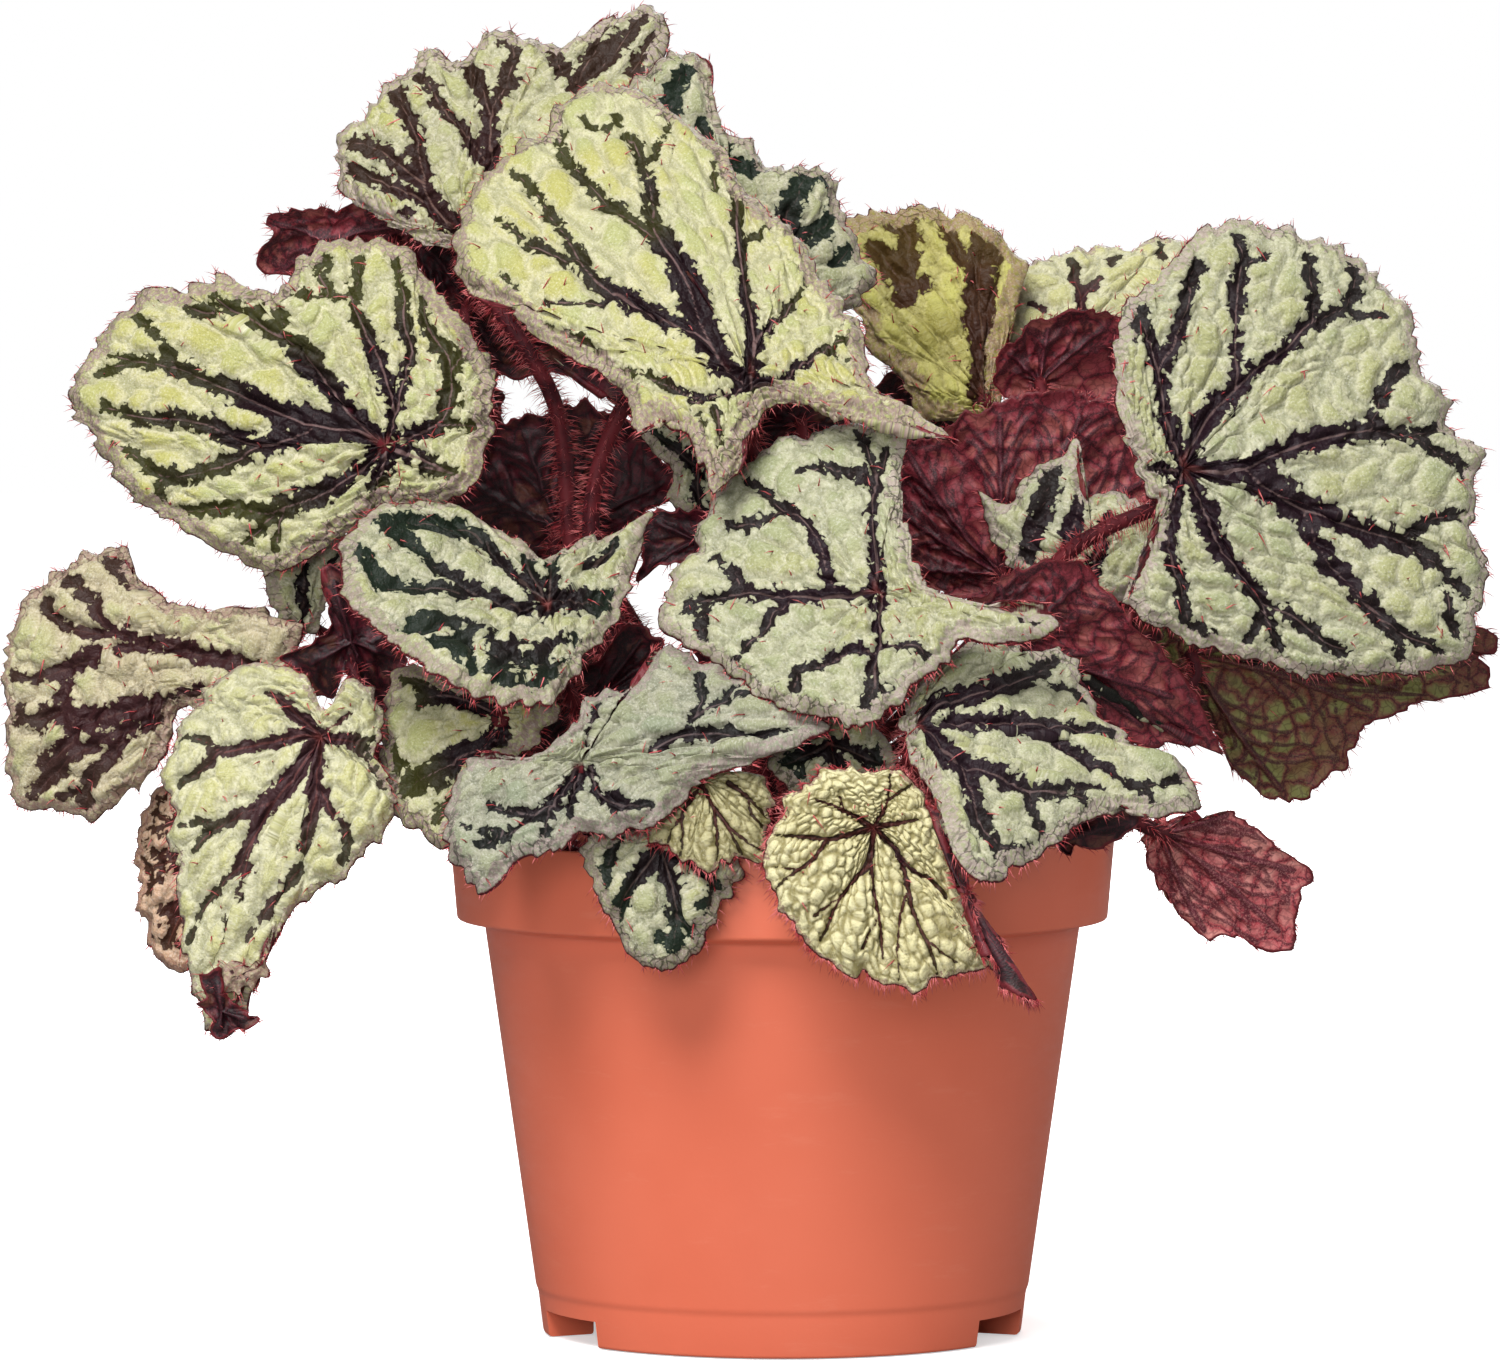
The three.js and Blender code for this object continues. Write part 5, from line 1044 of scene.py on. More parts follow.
def blade_skin(blade, number):
    """Works out a blade's points and what its materials need, and stores them in the blade."""
    blade_fan(blade, number)
    blade_lie(blade)
    vein, twig, band = vein_gaps(blade)
    flat, share, ring, normal = (blade[key] for key in ("flat", "share", "ring", "normal"))
    rim = np.min([np.linalg.norm(flat - np.roll(flat[-1], shift, axis=0), axis=2) for shift in NEAR_ALONG],
                 axis=0)
    # puckers are wider across than along a vein, but round on young leaves
    wide = 1.0 if blade["bumps"] < YOUNG else 0.6
    least = 0.35 if np.allclose(blade["core"], blade["hub"]) else 0.0
    across = ring * wide * (least + (1 - least) * share[..., None]) / blade["bumps"]
    along = share * blade["mean"] / blade["bumps"] + 0.25 * lumps(flat, 6.0, number + 17)
    net = cells(np.dstack([across, along]), number + 14)
    # heights to the upper side
    pillow = blade["height"] * (UNDER_PUCKER if blade["under"] else 1.0)
    pillow = pillow * (1 - (1 - np.minimum(1, 1.5 * net)) ** 2) * np.clip(rim / 3, 0, 1)
    groove = GROOVE * np.exp(-(vein / 0.7) ** 2)
    if blade["name"] not in BANDS:
        groove += 0.5 * GROOVE * np.exp(-(twig / 0.5) ** 2)
    swell = SWELL * (1 - np.exp(-(np.minimum(twig, vein) / 2.4) ** 2)) * np.clip(rim / 4, 0, 1)
    heave = HEAVE * lumps(flat, 15.0, number + 15)
    ruffle = RUFFLE * lumps(ring, 5.5, number + 16) * share ** 6
    height = pillow - groove + swell + heave + ruffle - MARGIN_ROLL * np.exp(-rim / 1.3)
    half = SKIN / 2 * (1 - 0.45 * np.exp(-rim / 0.8))
    cord = CORD * (1.15 - share) * np.exp(-(vein / 0.55) ** 2) + TWIG_CORD * np.exp(-(twig / 0.4) ** 2)
    cord = cord * np.clip(rim / 2, 0, 1)
    upper = -1 if blade["under"] else 1
    front = blade["skin"] + normal * (upper * height + half + (cord if blade["under"] else 0))[..., None]
    back = blade["skin"] + normal * (upper * height - half - (0 if blade["under"] else cord))[..., None]
    # the stalk is fixed on the underside of the hub
    seat = np.unravel_index(int(np.argmin(np.linalg.norm(blade["p"] - blade["hub"], axis=2))), share.shape)
    blade.update(front=front, back=back, rim=rim, net=net, vein=vein, twig=twig, band=band, upper=upper,
                 seat=(front if blade["under"] else back)[seat], away=-upper * normal[seat])


print("a pucker is", LEAVES["top_front"]["height"], "mm high at most")

# %% [markdown]
# ## The blades
# A front, a back and the wall between them at the margin make each blade a closed skin. The fields that
# the paint reads are stored at its points.

# %% The meshes of the blades
def blade_mesh(blade, number):
    blade_skin(blade, number)
    around, rows = blade["around"], blade["rows"]

    def point_rows(field):
        """One row for each point of a side, with the core once."""
        return np.concatenate([field[:1, :1].reshape(1, -1), field[1:].reshape(rows * around, -1)])

    layers = [point_rows(blade["front"]), point_rows(blade["back"])]
    size = len(layers[0])
    k = np.arange(around)
    after = (k + 1) % around
    fan = np.stack([np.zeros(around, int), 1 + k, 1 + after], 1)
    inner = 1 + (np.arange(rows - 1) * around)[:, None]
    quads = np.stack([inner + k, inner + around + k, inner + around + after, inner + after], 2).reshape(-1, 4)
    last = 1 + (rows - 1) * around
    wall = np.stack([last + k, last + size + k, last + size + after, last + after], 1)
    if blade["facing"] < 0:
        fan, quads, wall = fan[:, ::-1], quads[:, ::-1], wall[:, ::-1]
    faces = [*fan.tolist(), *quads.tolist(), *(fan[:, ::-1] + size).tolist(),
             *(quads[:, ::-1] + size).tolist(), *wall.tolist()]
    count = len(fan) + len(quads)
    below, above = UNDER.get(blade["coat"], UNDER["maroon"]), UPPER.get(blade["coat"], UPPER["jade"])
    skins = [below, above] if blade["under"] else [above, below]
    obj = mesh_object("blade_" + blade["name"], np.concatenate(layers), faces, skins,
                      [0] * count + [1] * (count + around))
    seed = np.full(blade["share"].shape, number * 7.3)
    fields = {"place": np.dstack([blade["flat"], seed]),
              "pattern": np.dstack([blade["band"], blade["vein"], blade["rim"]]),
              "reach": blade["share"], "net": blade["net"], "twig": blade["twig"]}
    for name, field in fields.items():
        kind, key = ("FLOAT_VECTOR", "vector") if field.ndim == 3 else ("FLOAT", "value")
        both = np.concatenate([point_rows(field)] * 2)
        obj.data.attributes.new(name, kind, "POINT").data.foreach_set(key, both.astype(np.float32).ravel())
    if not blade["extra"]:
        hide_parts("leaf_" + blade["name"])
    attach(obj, "root")
    return obj


blades = [blade_mesh(blade, number) for number, blade in enumerate(LEAVES.values())]
print("blades:", len(blades), "faces:", sum(len(b.data.polygons) for b in blades))

# %% [markdown]
# ## Stalks
# Each leaf stands on a stalk some four millimetres thick, juicy, red and shaggy. Fifteen of them stand
# on their own in the soil; the others are one body with the rhizome that creeps under the crown, and
# start at a share of its length, their root. A stalk is a tube on a smooth line from the ground, by way
# of any bends, to its blade. lead says from where it comes up to the blade, where that isn't straight
# from below.

# %% Stalk lines
SOIL_TOP = 90.0
RHIZOME_STOPS = 200
RHIZOME_LINE = smooth([(-12, 22, 90), (-4, 14, 93), (4, 4, 94), (6, -6, 92)], RHIZOME_STOPS + 1)[0]
STALKS = {
    "top_front": dict(foot=(-2, -10), via=[(-6, -22, 165)]),
    "centre": dict(foot=(10, -20)),
    "low_right": dict(foot=(22, -24), via=[(32, -56, 116)]),
    "young_right": dict(foot=(12, -32), via=[(15, -62, 112)], lead=(0, 8, 2)),
    "low_front": dict(foot=(-20, -26)),
    "rim_front": dict(foot=(-14, -36), via=[(-23, -62, 109)], lead=(0, 5, 3)),
    "bowl": dict(foot=(-22, -12)),
    "left_low": dict(foot=(-30, -18)),
    "left_drooping": dict(foot=(-34, -6)),
    "left_large": dict(foot=(-24, 2), via=[(-50, -6, 145)]),
    "far_left": dict(foot=(-36, 6)),
    "left_top": dict(foot=(-14, 8), via=[(-43, 8, 158), (-48, 12, 195)]),
    "behind_top": dict(foot=(-8, 0), via=[(-40, -8, 168), (-30, -6, 200)]),
    "right_large": dict(foot=(22, -6), via=[(58, -14, 163)]),
    "right_small_under": dict(foot=(36, -4), via=[(66, -6, 111)], lead=(-6, -5, 3)),
    "young_left": dict(root=0.95, via=[(-2, -36, 104), (-12, -58, 112)]),
    "left_behind": dict(root=0.1, via=[(-64, 18, 118), (-88, 12, 112)]),
    "left_folded": dict(root=0.05, via=[(-60, 26, 128)]),
    "left_inner_under": dict(root=0.15, via=[(-44, 22, 118), (-78, -8, 122)], lead=(2, -3, -6)),
    "fold_under": dict(root=0.85, via=[(-12, -6, 112), (-22, -20, 126)], lead=(4, -5, -2)),
    "edge_top_left": dict(root=0.1, via=[(-50, 46, 160)]),
    "centre_under": dict(root=0.3),
    "upper_under": dict(root=0.15, via=[(-52, 52, 170)]),
    "strip_under": dict(root=0.75),
    "right_under": dict(root=0.95),
    "inner_right_under": dict(root=0.65),
    "inner_dark": dict(root=0.8),
    "inner_under": dict(root=0.85, via=[(4, -10, 120)]),
    "shade_front": dict(root=0.92),
    "rim_right": dict(root=0.9, via=[(44, -36, 116)], lead=(-4, 6, 5)),
    "inner_right_face": dict(root=0.7),
    "back_right": dict(root=0.45, via=[(40, 46, 150)]),
    "back_right_fold": dict(root=0.5, via=[(34, 40, 150)]),
    "right_low_under": dict(root=0.6),
    "back_green": dict(root=0.5),
    "back_left_high": dict(root=0.1, via=[(-45, 47, 166)]),
    "back_top": dict(root=0.25),
    "back_right_high": dict(root=0.4),
    "back_left_low": dict(root=0.1),
    "back_low": dict(root=0.2),
    "back_right_low": dict(root=0.35),
    "back_centre": dict(root=0.3),
}


def stalk_line(name, foot=None, root=None, via=(), lead=None):
    """The line of a stalk from the ground to its blade, with a stop every half millimetre."""
    blade = LEAVES[name]
    if foot:
        start = [(*foot, SOIL_TOP + z) for z in (-9, 0, 5)]
    else:
        bud = RHIZOME_LINE[int(root * RHIZOME_STOPS)]
        start = [bud, bud + (0, 0, 9)]
    end = blade["seat"] - 0.1 * blade["away"]
    low = end + 0.9 * blade["away"]
    near = low + (np.array(lead, float) if lead else 5 * blade["away"] + (0, 0, -4))
    points = [*start, *via, near, low, end]
    return smooth(points, int(smooth(points, 8)[2] * 2))[0]


def tube(line, radius, sides, knobs, seed):
    """A closed tube along a line; radius is one number for each of its stops."""
    tangent = np.gradient(line, axis=0)
    tangent /= np.linalg.norm(tangent, axis=1)[:, None]
    out = np.array([1.0, 0.0, 0.0])
    angle = 2 * np.pi * np.arange(sides) / sides
    points, outs = [], []
    for i, (centre, way) in enumerate(zip(line, tangent)):
        out = out - (out @ way) * way
        out /= np.linalg.norm(out)
        across = np.cross(way, out)
        spoke = np.outer(np.cos(angle), out) + np.outer(np.sin(angle), across)
        swell = 1 + knobs * lumps(np.stack([angle * 1.3, np.full(sides, i * 0.35)], 1), 1.0, seed)
        points.append(centre + spoke * (radius[i] * swell)[:, None])
        outs.append(spoke)
    points = np.concatenate(points)
    k = np.arange(sides)
    after = (k + 1) % sides
    start = (np.arange(len(line) - 1) * sides)[:, None]
    quads = np.stack([start + k, start + after, start + sides + after, start + sides + k], 2).reshape(-1, 4)
    faces = quads.tolist() + [k[::-1].tolist(), (k + len(points) - sides).tolist()]
    return points, faces, np.array(outs)


print("stalks:", len(STALKS))

# %% [markdown]
# ## Hairs
# Stalks, margins and upper sides carry hairs, each a thin cone. Strands that only exist for the renderer
# were left out, since a cone keeps its shape in every program; they are few enough to be real.

# %% Hairs
# a cone's three sides in two storeys: points 0 to 2 at the root, 3 to 5 at the bend, and 6 at the tip
CONE = np.array([(2, 1, 0), (0, 1, 4), (0, 4, 3), (1, 2, 5), (1, 5, 4), (2, 0, 3), (2, 3, 5), (3, 4, 6),
                 (4, 5, 6), (5, 3, 6)])


def cones(roots, ways, lengths, radius, rng):
    """Closed three-sided cones that droop a little, as points and faces."""
    ways = ways / (np.linalg.norm(ways, axis=1)[:, None] + 1e-9)
    helper = rng.normal(size=ways.shape)
    u = np.cross(ways, helper)
    u /= np.linalg.norm(u, axis=1)[:, None] + 1e-9
    v = np.cross(ways, u)
    droop = np.array([0.0, 0.0, -0.6]) * lengths[:, None] * 0.35
    points = []
    for share, width, fall in ((0.0, 1.0, 0.0), (0.55, 0.6, 0.3)):
        centre = roots + ways * (lengths * share)[:, None] + droop * fall
        for a in 2 * np.pi * np.arange(3) / 3:
            points.append(centre + radius * width * (math.cos(a) * u + math.sin(a) * v))
    points.append(roots + ways * lengths[:, None] + droop)
    base = np.arange(len(roots)) * len(points)
    faces = (base[:, None, None] + CONE).reshape(-1, 3)
    return np.stack(points, 1).reshape(-1, 3), faces.tolist()


def hair_object(name, batches, radius, seed):
    """All the hairs of some batches of (roots, ways, lengths), in one piece."""
    roots, ways, lengths = (np.concatenate(list(column)) for column in zip(*batches))
    points, faces = cones(roots, ways, lengths, radius, np.random.default_rng(seed))
    obj = mesh_object(name, points, faces, [hair_skin])
    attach(obj, "root")


stalk_skin = mottled("stalk_skin", (160.0, 3.0), (0.38, 0.62), (62, 16, 24), (104, 34, 40),
                     bump=(700.0, 2.0, 0.3, 0.0003), Roughness=0.65, Specular_IOR_Level=0.2)
hair_skin = mottled("hair_skin", (420.0, 1.0), (0.4, 0.6), (176, 60, 66), (222, 120, 120),
                    Roughness=0.5, Specular_IOR_Level=0.3)
rhizome_skin = mottled("rhizome_skin", (220.0, 4.0), (0.35, 0.65), (86, 46, 34), (134, 82, 58),
                       bump=(600.0, 3.0, 0.6, 0.0006), Roughness=0.7, Specular_IOR_Level=0.3)
print("hair, stalk and rhizome materials made")

# %% [markdown]
# ## Stalks and rhizome
# The loose stalks each replace their own solid. The rhizome, its roots and the stalks that grow from it
# go into one piece. A stalk is a little thicker at both its ends. The hairs are shared out over three
# pieces, so that none gets too large.

# %% The stalks and the rhizome
LOOSE = dict(foot=2.3, tip=1.5, hairs=12)      # a stalk in the soil: its radii, and its hairs on a millimetre
RUNNER = dict(foot=1.8, tip=1.1, hairs=6)      # the same of a stalk on the rhizome
STALK_SIDES = 12
ROOTS = [(-8, 20, -24, 34), (-2, 12, 6, 14), (4, 4, 26, 20), (5, -3, 20, -22), (0, 8, -18, -6)]
ROOT_DEPTH = 42
rng = np.random.default_rng(5)
hair_batches = []
rhizome_points, rhizome_faces, rhizome_slots = [], [], []


def grow(points, faces, slot):
    """Adds a closed shape to the rhizome's piece."""
    base = sum(len(p) for p in rhizome_points)
    rhizome_points.append(points)
    rhizome_faces.extend([i + base for i in face] for face in faces)
    rhizome_slots.extend([slot] * len(faces))


for number, (name, stalk) in enumerate(STALKS.items()):
    line = stalk_line(name, **stalk)
    t = np.linspace(0, 1, len(line))
    kind = LOOSE if "foot" in stalk else RUNNER
    radius = (kind["foot"] + (kind["tip"] - kind["foot"]) * t
              + 0.5 * np.exp(-(1 - t) * len(line) / 2 / 1.6) + 0.5 * np.exp(-t * len(line) / 2 / 4))
    points, faces, outs = tube(line[::2], radius[::2], STALK_SIDES, 0.05, number)
    if kind is LOOSE:
        obj = mesh_object("petiole_" + name, points, faces, [stalk_skin])
        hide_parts("stalk_" + name)
        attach(obj, "root")
    else:
        grow(points, faces, 1)
    count = int(len(line) / 2 * kind["hairs"])
    stop = rng.integers(8, len(outs) - 1, count)
    side = rng.integers(0, STALK_SIDES, count)
    length = rng.uniform(1.5, 4.4, count)
    hair_batches.append((points.reshape(len(outs), STALK_SIDES, 3)[stop, side],
                         outs[stop, side] + 0.25 * rng.normal(size=(count, 3)), length))
hair_object("stalk_hairs_front", hair_batches[:8], 0.1, 6)
hair_object("stalk_hairs_loose", hair_batches[8:15], 0.1, 8)
hair_object("stalk_hairs_rhizome", hair_batches[15:], 0.1, 7)

line = RHIZOME_LINE[::4]
t = np.linspace(0, 1, len(line))
radius = np.interp(t, [0, 1 / 3, 2 / 3, 1], [4, 6.5, 7, 5]) + 0.5 * np.sin(9 * np.pi * t)
grow(*tube(line, radius, 24, 0.12, 99)[:2], 0)
for x, y, to_x, to_y in ROOTS:
    line = smooth([(x, y, SOIL_TOP), ((2 * x + to_x) / 3, (2 * y + to_y) / 3, SOIL_TOP - ROOT_DEPTH * 0.45),
                   (to_x, to_y, SOIL_TOP - ROOT_DEPTH)], 40)[0]
    grow(*tube(line, np.linspace(1.6, 0.8, len(line)), 8, 0.1, x + 50)[:2], 0)
rhizome = mesh_object("rhizome_and_runners", np.concatenate(rhizome_points), rhizome_faces,
                      [rhizome_skin, stalk_skin], rhizome_slots)
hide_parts("rhizome")
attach(rhizome, "root")
print("rhizome piece faces:", len(rhizome.data.polygons))

# %% [markdown]
# ## Hairs of the leaves
# The margins carry a fringe of red hairs, and the upper sides a few longer bristles.

# %% Margin hairs and bristles
MARGIN_HAIRS = 0.9         # on a millimetre of an old leaf's margin, before its fringe is added
BRISTLE_ROOM = 60          # square millimetres to one bristle
rng = np.random.default_rng(8)
margin_batches, bristle_batches = [], []
for blade in LEAVES.values():
    upper, normal, around = blade["upper"], blade["normal"], blade["around"]
    top = blade["back"] if blade["under"] else blade["front"]
    out = top[-1] - top[-2]
    out /= np.linalg.norm(out, axis=1)[:, None] + 1e-9
    count = int(blade["length"] * MARGIN_HAIRS * (1 + blade["fringe"]))
    stop = rng.integers(0, around, count)
    way = out[stop] + upper * 0.3 * normal[-1, stop] + 0.35 * rng.normal(size=(count, 3))
    margin_batches.append((top[-1, stop] - 0.1 * out[stop], way, rng.uniform(0.8, 3.0, count)))
    count = int(blade["length"] * blade["mean"] / 2 / BRISTLE_ROOM)
    row = (np.sqrt(rng.uniform(0.02, 0.9, count)) * blade["rows"]).astype(int)
    stop = rng.integers(0, around, count)
    way = upper * normal[row, stop] + 0.5 * rng.normal(size=(count, 3))
    foot = top[row, stop] - 0.05 * upper * normal[row, stop]
    bristle_batches.append((foot, way, rng.uniform(1.5, 4.6, count)))
hair_object("margin_hairs", margin_batches, 0.11, 9)
hair_object("leaf_bristles", bristle_batches, 0.2, 10)
for kind, batches in (("margin hairs:", margin_batches), ("bristles:", bristle_batches)):
    print(kind, sum(len(roots) for roots, _, _ in batches))

# %% [markdown]
# ## The pot
# A pot like this is moulded in one go, so all its walls are equally thin and every side tapers. It is
# turned from one profile here, as on a wheel, and the four openings of the foot and the drain holes
# are cut afterwards, as the mould's slides cut them.

# %% The pot's shape
POT = dict(rim=70.0, band_foot=68.5, shoulder=62.7, waist=52.0, foot=51.5, toe=50.4, height=104.6,
           band_z=87.3, waist_z=10.0, foot_z=7.0, wall=1.2, floor=1.6, edge=0.7, sides=192)
FOOT = dict(wall=10, notch_height=5.6, notch_width=23, notch_depth=20, notches=(-62.5, 66, 117.5, 246),
            boss=7)
DRAIN = dict(count=6, ring=34, radius=4, depth=10)


def lathe(name, profile, sides, material):
    """Turns a closed profile of (radius, height) corners, the first and the last on the axis."""
    angle = 2 * np.pi * np.arange(sides) / sides
    ring = np.stack([np.cos(angle), np.sin(angle)], 1)
    points = [(0.0, 0.0, profile[0][1]), (0.0, 0.0, profile[-1][1])]
    inner = profile[1:-1]
    for r, z in inner:
        points += [(r * x, r * y, z) for x, y in ring]
    k = np.arange(sides)
    after = (k + 1) % sides
    faces = [[0, 2 + int(b), 2 + int(a)] for a, b in zip(k, after)]
    for i in range(len(inner) - 1):
        start = 2 + i * sides
        faces += np.stack([start + k, start + after, start + sides + after, start + sides + k], 1).tolist()
    start = 2 + (len(inner) - 1) * sides
    faces += [[1, start + int(a), start + int(b)] for a, b in zip(k, after)]
    return mesh_object(name, points, faces, [material])


def rounded(corners, radius):
    """The profile with its inner corners rounded by up to a radius."""
    out = [corners[0]]
    for before, at, after in zip(corners, corners[1:], corners[2:]):
        before, at, after = (np.array(c, float) for c in (before, at, after))
        near = min(radius, 0.45 * np.linalg.norm(before - at), 0.45 * np.linalg.norm(after - at))
        a = at + near * (before - at) / np.linalg.norm(before - at)
        b = at + near * (after - at) / np.linalg.norm(after - at)
        out += [tuple((1 - t) ** 2 * a + 2 * t * (1 - t) * at + t ** 2 * b) for t in np.linspace(0, 1, 4)]
    return out + [corners[-1]]


p, wall = POT, POT["wall"]
profile = [(0, p["foot_z"]), (p["toe"] - FOOT["wall"], p["foot_z"]), (p["toe"] - FOOT["wall"], 0),
           (p["toe"], 0), (p["foot"], p["waist_z"] - wall), (p["waist"], p["waist_z"]),
           (p["shoulder"], p["band_z"] - wall), (p["band_foot"], p["band_z"]), (p["rim"], p["height"]),
           (p["rim"] - wall, p["height"]), (p["band_foot"] - wall, p["band_z"] + wall),
           (p["shoulder"] - wall, p["band_z"] - wall), (p["waist"] - wall, p["waist_z"] + wall),
           (p["waist"] - 2 * wall, p["foot_z"] + p["floor"]), (0, p["foot_z"] + p["floor"])]

pot_skin, m, shader = new_material("pot_skin", Specular_IOR_Level=0.4)
where = m.add("TexCoord", output=3)
scuff = m.noise(m.add("Mapping", {"Vector": where, "Scale": (60.0, 60.0, 260.0)}), 1.0, 5.0, 0.7)
tint = m.mix(m.step(m.noise(where, 22.0, 3.0), 0.35, 0.65), srgb(226, 112, 82), srgb(232, 118, 88))
tint = m.mix(m.math("MULTIPLY", m.step(scuff, 0.56, 0.72), 0.15), tint, srgb(240, 150, 122))
m.join(tint, shader["Base Color"])
m.join(m.line(scuff, 0.3, 0.8, 0.42, 0.6), shader["Roughness"])
m.join(m.bump(m.noise(where, 900.0, 2.0), 0.12, 0.0002), shader["Normal"])
pot = lathe("pot_shell", rounded(profile, p["edge"]), p["sides"], pot_skin)
print("corners of the pot's profile:", len(profile))

# %% [markdown]
# The notches, the drain holes and the boss under the floor are plain bodies that are cut out of the
# turned shell or joined to it.

# %% The pot's cuts
floor_middle = p["foot_z"] + p["floor"] / 2
cutters = []
for degrees in FOOT["notches"]:
    bpy.ops.mesh.primitive_cube_add(size=1)
    box = bpy.context.object
    box.scale = (FOOT["notch_width"] * MM, FOOT["notch_depth"] * MM, 2 * FOOT["notch_height"] * MM)
    turn = math.radians(degrees)
    reach = p["toe"] - FOOT["wall"] / 2
    box.location = (reach * math.sin(turn) * MM, -reach * math.cos(turn) * MM, 0)
    box.rotation_euler = (0, 0, turn)
    cutters.append(box)
for i in range(DRAIN["count"]):
    angle = 2 * math.pi * (i + 0.5) / DRAIN["count"]
    bpy.ops.mesh.primitive_cylinder_add(radius=DRAIN["radius"] * MM, depth=DRAIN["depth"] * MM, vertices=40)
    hole = bpy.context.object
    hole.location = (DRAIN["ring"] * math.cos(angle) * MM, DRAIN["ring"] * math.sin(angle) * MM,
                     floor_middle * MM)
    cutters.append(hole)
bpy.ops.mesh.primitive_cylinder_add(radius=FOOT["boss"] * MM, depth=floor_middle * MM, vertices=48,
                                    location=(0, 0, floor_middle / 2 * MM))
boss = bpy.context.object
for body in [*cutters, boss]:
    cut = pot.modifiers.new("cut", "BOOLEAN")
    cut.operation, cut.solver, cut.object = "UNION" if body == boss else "DIFFERENCE", "EXACT", body
bpy.context.view_layer.update()
shell = bpy.data.meshes.new_from_object(pot.evaluated_get(bpy.context.evaluated_depsgraph_get()))
pot.modifiers.clear()
pot.data = shell
for body in [*cutters, boss]:
    bpy.data.objects.remove(body)
pot.data.polygons.foreach_set("use_smooth", [True] * len(pot.data.polygons))
pot.data.set_sharp_from_angle(angle=math.radians(35))
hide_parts("pot")
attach(pot, "root")
print("pot faces:", len(pot.data.polygons))

# %% [markdown]
# ## The soil
# Dark potting soil fills the pot to just under the rim. Its top is a bed of crumbs: peat, bark and a
# few white grains of perlite. A flat dark disc would do from the front, but the bed shows from above.

# %% The soil
GAP = 0.35                                       # between the soil and the pot
SOIL_FLOOR, SOIL_SHOULDER, SOIL_EDGE = 8.95, 86.45, 88.85      # heights of the soil along the wall
CROWN = [(0.0, 92.5), (0.2, 92.5), (0.45, 91.5), (0.75, 90.0), (1.0, SOIL_EDGE)]     # share out, height
soil_skin = mottled("soil_skin", (300.0, 4.0), (0.35, 0.65), (34, 24, 18), (72, 52, 38),
                    bump=(500.0, 4.0, 0.9, 0.001), Roughness=0.95, Specular_IOR_Level=0.2)
perlite_skin = mottled("perlite_skin", (900.0, 2.0), (0.35, 0.65), (214, 208, 196), (236, 232, 224),
                       Roughness=0.9)


def soil_radius(z):
    """How wide the soil is at a height below the band."""
    up = min((z - p["waist_z"]) / (p["band_z"] - p["waist_z"]), 1)
    return (p["waist"] + (p["shoulder"] - p["waist"]) * up) - wall - GAP


def soil_level(share):
    """The height of the soil at a share of the way from the middle to the wall."""
    return np.interp(share, *zip(*CROWN))


top_radius = p["band_foot"] - wall - GAP - 0.8
bed = [(0, SOIL_FLOOR), (soil_radius(p["waist_z"]) - 2, SOIL_FLOOR), (soil_radius(p["waist_z"]) - 0.6, 12),
       (soil_radius(p["band_z"]) - GAP, SOIL_SHOULDER), (top_radius, SOIL_EDGE)]
bed += [(top_radius * share, soil_level(share)) for share in np.linspace(0.99, 0.0, 66)]
soil = lathe("soil_bed", bed, 220, soil_skin)
co = np.empty(len(soil.data.vertices) * 3)
soil.data.vertices.foreach_get("co", co)
co = co.reshape(-1, 3) / MM
radius = np.linalg.norm(co[:, :2], axis=1)
top = (co[:, 2] > SOIL_EDGE - 0.85) & (radius > 1)
angle = np.arctan2(co[:, 1], co[:, 0])
share = 1 - radius / (top_radius * 1.02)
rise = 0.8 * share * (np.sin(5 * angle + 9 * share) + 0.6 * np.sin(11 * angle - 14 * share))
rough = 0.5 * lumps(co[:, :2], 3.0, 21) + 0.4 * lumps(co[:, :2], 1.3, 22)
rise += rough * np.clip((1 - radius / top_radius) * 12, 0, 1)
co[:, 2] += np.where(top, rise, 0)
soil.data.vertices.foreach_set("co", (co * MM).ravel())
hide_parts("soil")
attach(soil, "root")


def crumbs(name, count, low, high, flatness, material, seed):
    """A scatter of lumpy grains on the soil, in one piece."""
    rng = np.random.default_rng(seed)
    grain = bmesh.new()
    bmesh.ops.create_icosphere(grain, subdivisions=2, radius=1.0)
    ball = np.array([v.co[:] for v in grain.verts])
    triangles = np.array([[v.index for v in f.verts] for f in grain.faces])
    grain.free()
    points, faces = [], []
    for i in range(count):
        r, a = (top_radius - 5) * math.sqrt(rng.uniform()), rng.uniform(0, 2 * math.pi)
        size = rng.uniform(low, high)
        shape = ball * (1 + 0.3 * rng.normal(size=3)) * (size, size, size * flatness)
        shape = shape * (1 + 0.15 * rng.normal(size=(len(ball), 1)))
        turn = rng.uniform(0, 2 * math.pi)
        cos, sin = math.cos(turn), math.sin(turn)
        shape[:, :2] = shape[:, :2] @ np.array([[cos, -sin], [sin, cos]])
        level = soil_level(r / top_radius) + size * flatness * 0.4
        points.append(shape + (r * math.cos(a), r * math.sin(a), level))
        faces.append(triangles + i * len(ball))
    obj = mesh_object(name, np.concatenate(points), np.concatenate(faces).tolist(), [material])
    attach(obj, "root")


crumbs("bark_crumbs", 320, 0.8, 2.6, 0.5, soil_skin, 31)
crumbs("perlite_grains", 60, 0.6, 1.4, 0.8, perlite_skin, 32)
print("soil faces:", len(soil.data.polygons))

# %% [markdown]
# ## Floor, light and camera
# The plant was photographed on white, with a large soft light from the upper left and a weaker fill.
# The floor looks white to the camera but throws back less light than white would, and glows only where
# it is looked at, brighter away from the pot, whose soft shadow stays.

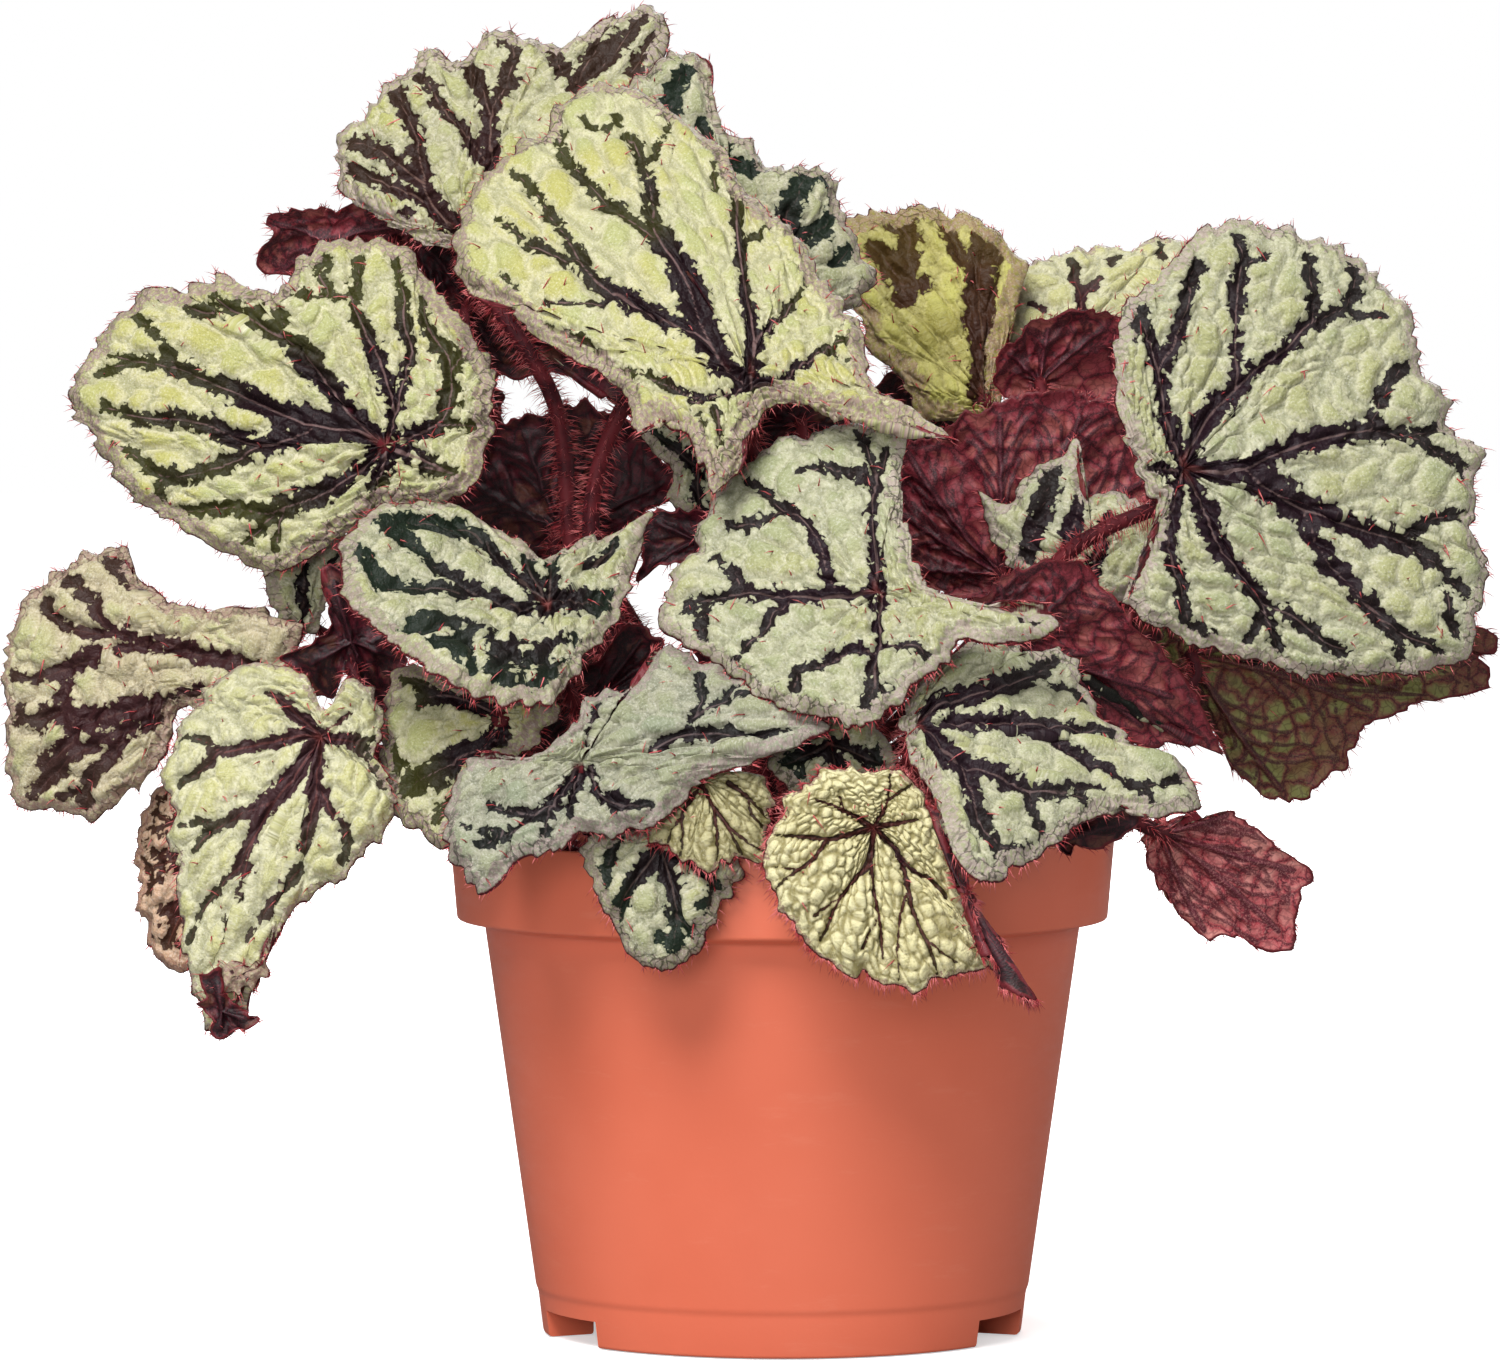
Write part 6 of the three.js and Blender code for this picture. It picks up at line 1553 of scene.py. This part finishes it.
# %% The floor and the world
WHITE = (1.0, 1.0, 1.0, 1.0)
floor_skin, m, shader = new_material("floor_skin", Roughness=0.9, Specular_IOR_Level=0.0,
                                     Emission_Color=WHITE)
seen = m.add("LightPath", output="Is Camera Ray")
m.join(m.mix(seen, srgb(150, 150, 150), srgb(250, 250, 250)), shader["Base Color"])
x, y, _ = m.split(m.add("TexCoord", output=3))
from_pot = m.math("MULTIPLY_ADD", x, x, m.math("POWER", m.math("ADD", y, 3.0), 2.0))
far = m.step(m.math("POWER", from_pot, 0.5), 0.052, 0.085)
m.join(m.math("MULTIPLY", seen, m.line(far, 0.0, 1.0, 0.5, 1.0)), shader["Emission Strength"])
bpy.ops.mesh.primitive_plane_add(size=14, location=(0, 3, -0.0002))
floor = bpy.context.object
floor.name = "floor"
floor.data.materials.append(floor_skin)

world = bpy.data.worlds.new("studio")
bpy.context.scene.world = world
world.use_nodes = True
w = Nodes(world.node_tree)
background = world.node_tree.nodes["Background"].inputs
seen = w.add("LightPath", output="Is Camera Ray")
glossy = w.add("LightPath", output="Is Glossy Ray")
level = w.math("MAXIMUM", seen, w.math("MULTIPLY", glossy, 0.1))
w.join(w.line(level, 0.0, 1.0, 0.17, 1.0), background["Strength"])
background["Color"].default_value = WHITE
print("the floor is", round(floor.dimensions.x, 1), "m wide")

# %% [markdown]
# The lamps are four large squares, so that every shadow is soft. All of them look at the plant.

# %% Lamps and camera
PLANT_MIDDLE = mathutils.Vector((0.0, 0.0, 0.12))


def lamp(name, place, size, power):
    light = bpy.data.lights.new(name, "AREA")
    light.size, light.energy = size, power
    obj = bpy.data.objects.new(name, light)
    obj.location = place
    obj.rotation_euler = (PLANT_MIDDLE - mathutils.Vector(place)).to_track_quat("-Z", "Y").to_euler()
    bpy.context.scene.collection.objects.link(obj)


lamp("key", (-0.4, -1.0, 1.35), 0.7, 27.0)
lamp("front", (-0.45, -2.1, 0.45), 0.9, 19.0)
lamp("right", (1.7, 0.1, 0.7), 1.0, 7.0)
lamp("back", (0.3, 1.8, 0.9), 1.2, 24.0)

camera = bpy.data.objects.new("camera", bpy.data.cameras.new("camera"))
bpy.context.scene.collection.objects.link(camera)
camera.location = EYE * MM
camera.rotation_euler = mathutils.Vector(AIM - EYE).to_track_quat("-Z", "Y").to_euler()
camera.data.sensor_width = 36.0
camera.data.lens = FOCAL / PICTURE[0] * camera.data.sensor_width
camera.data.clip_end = 60
bpy.context.scene.camera = camera
bpy.context.scene.view_settings.view_transform = "Standard"
print("lens:", round(camera.data.lens, 2))

# %% [markdown]
# ## The last update
# The view layer is updated once more.

# %% The last update
bpy.context.view_layer.update()
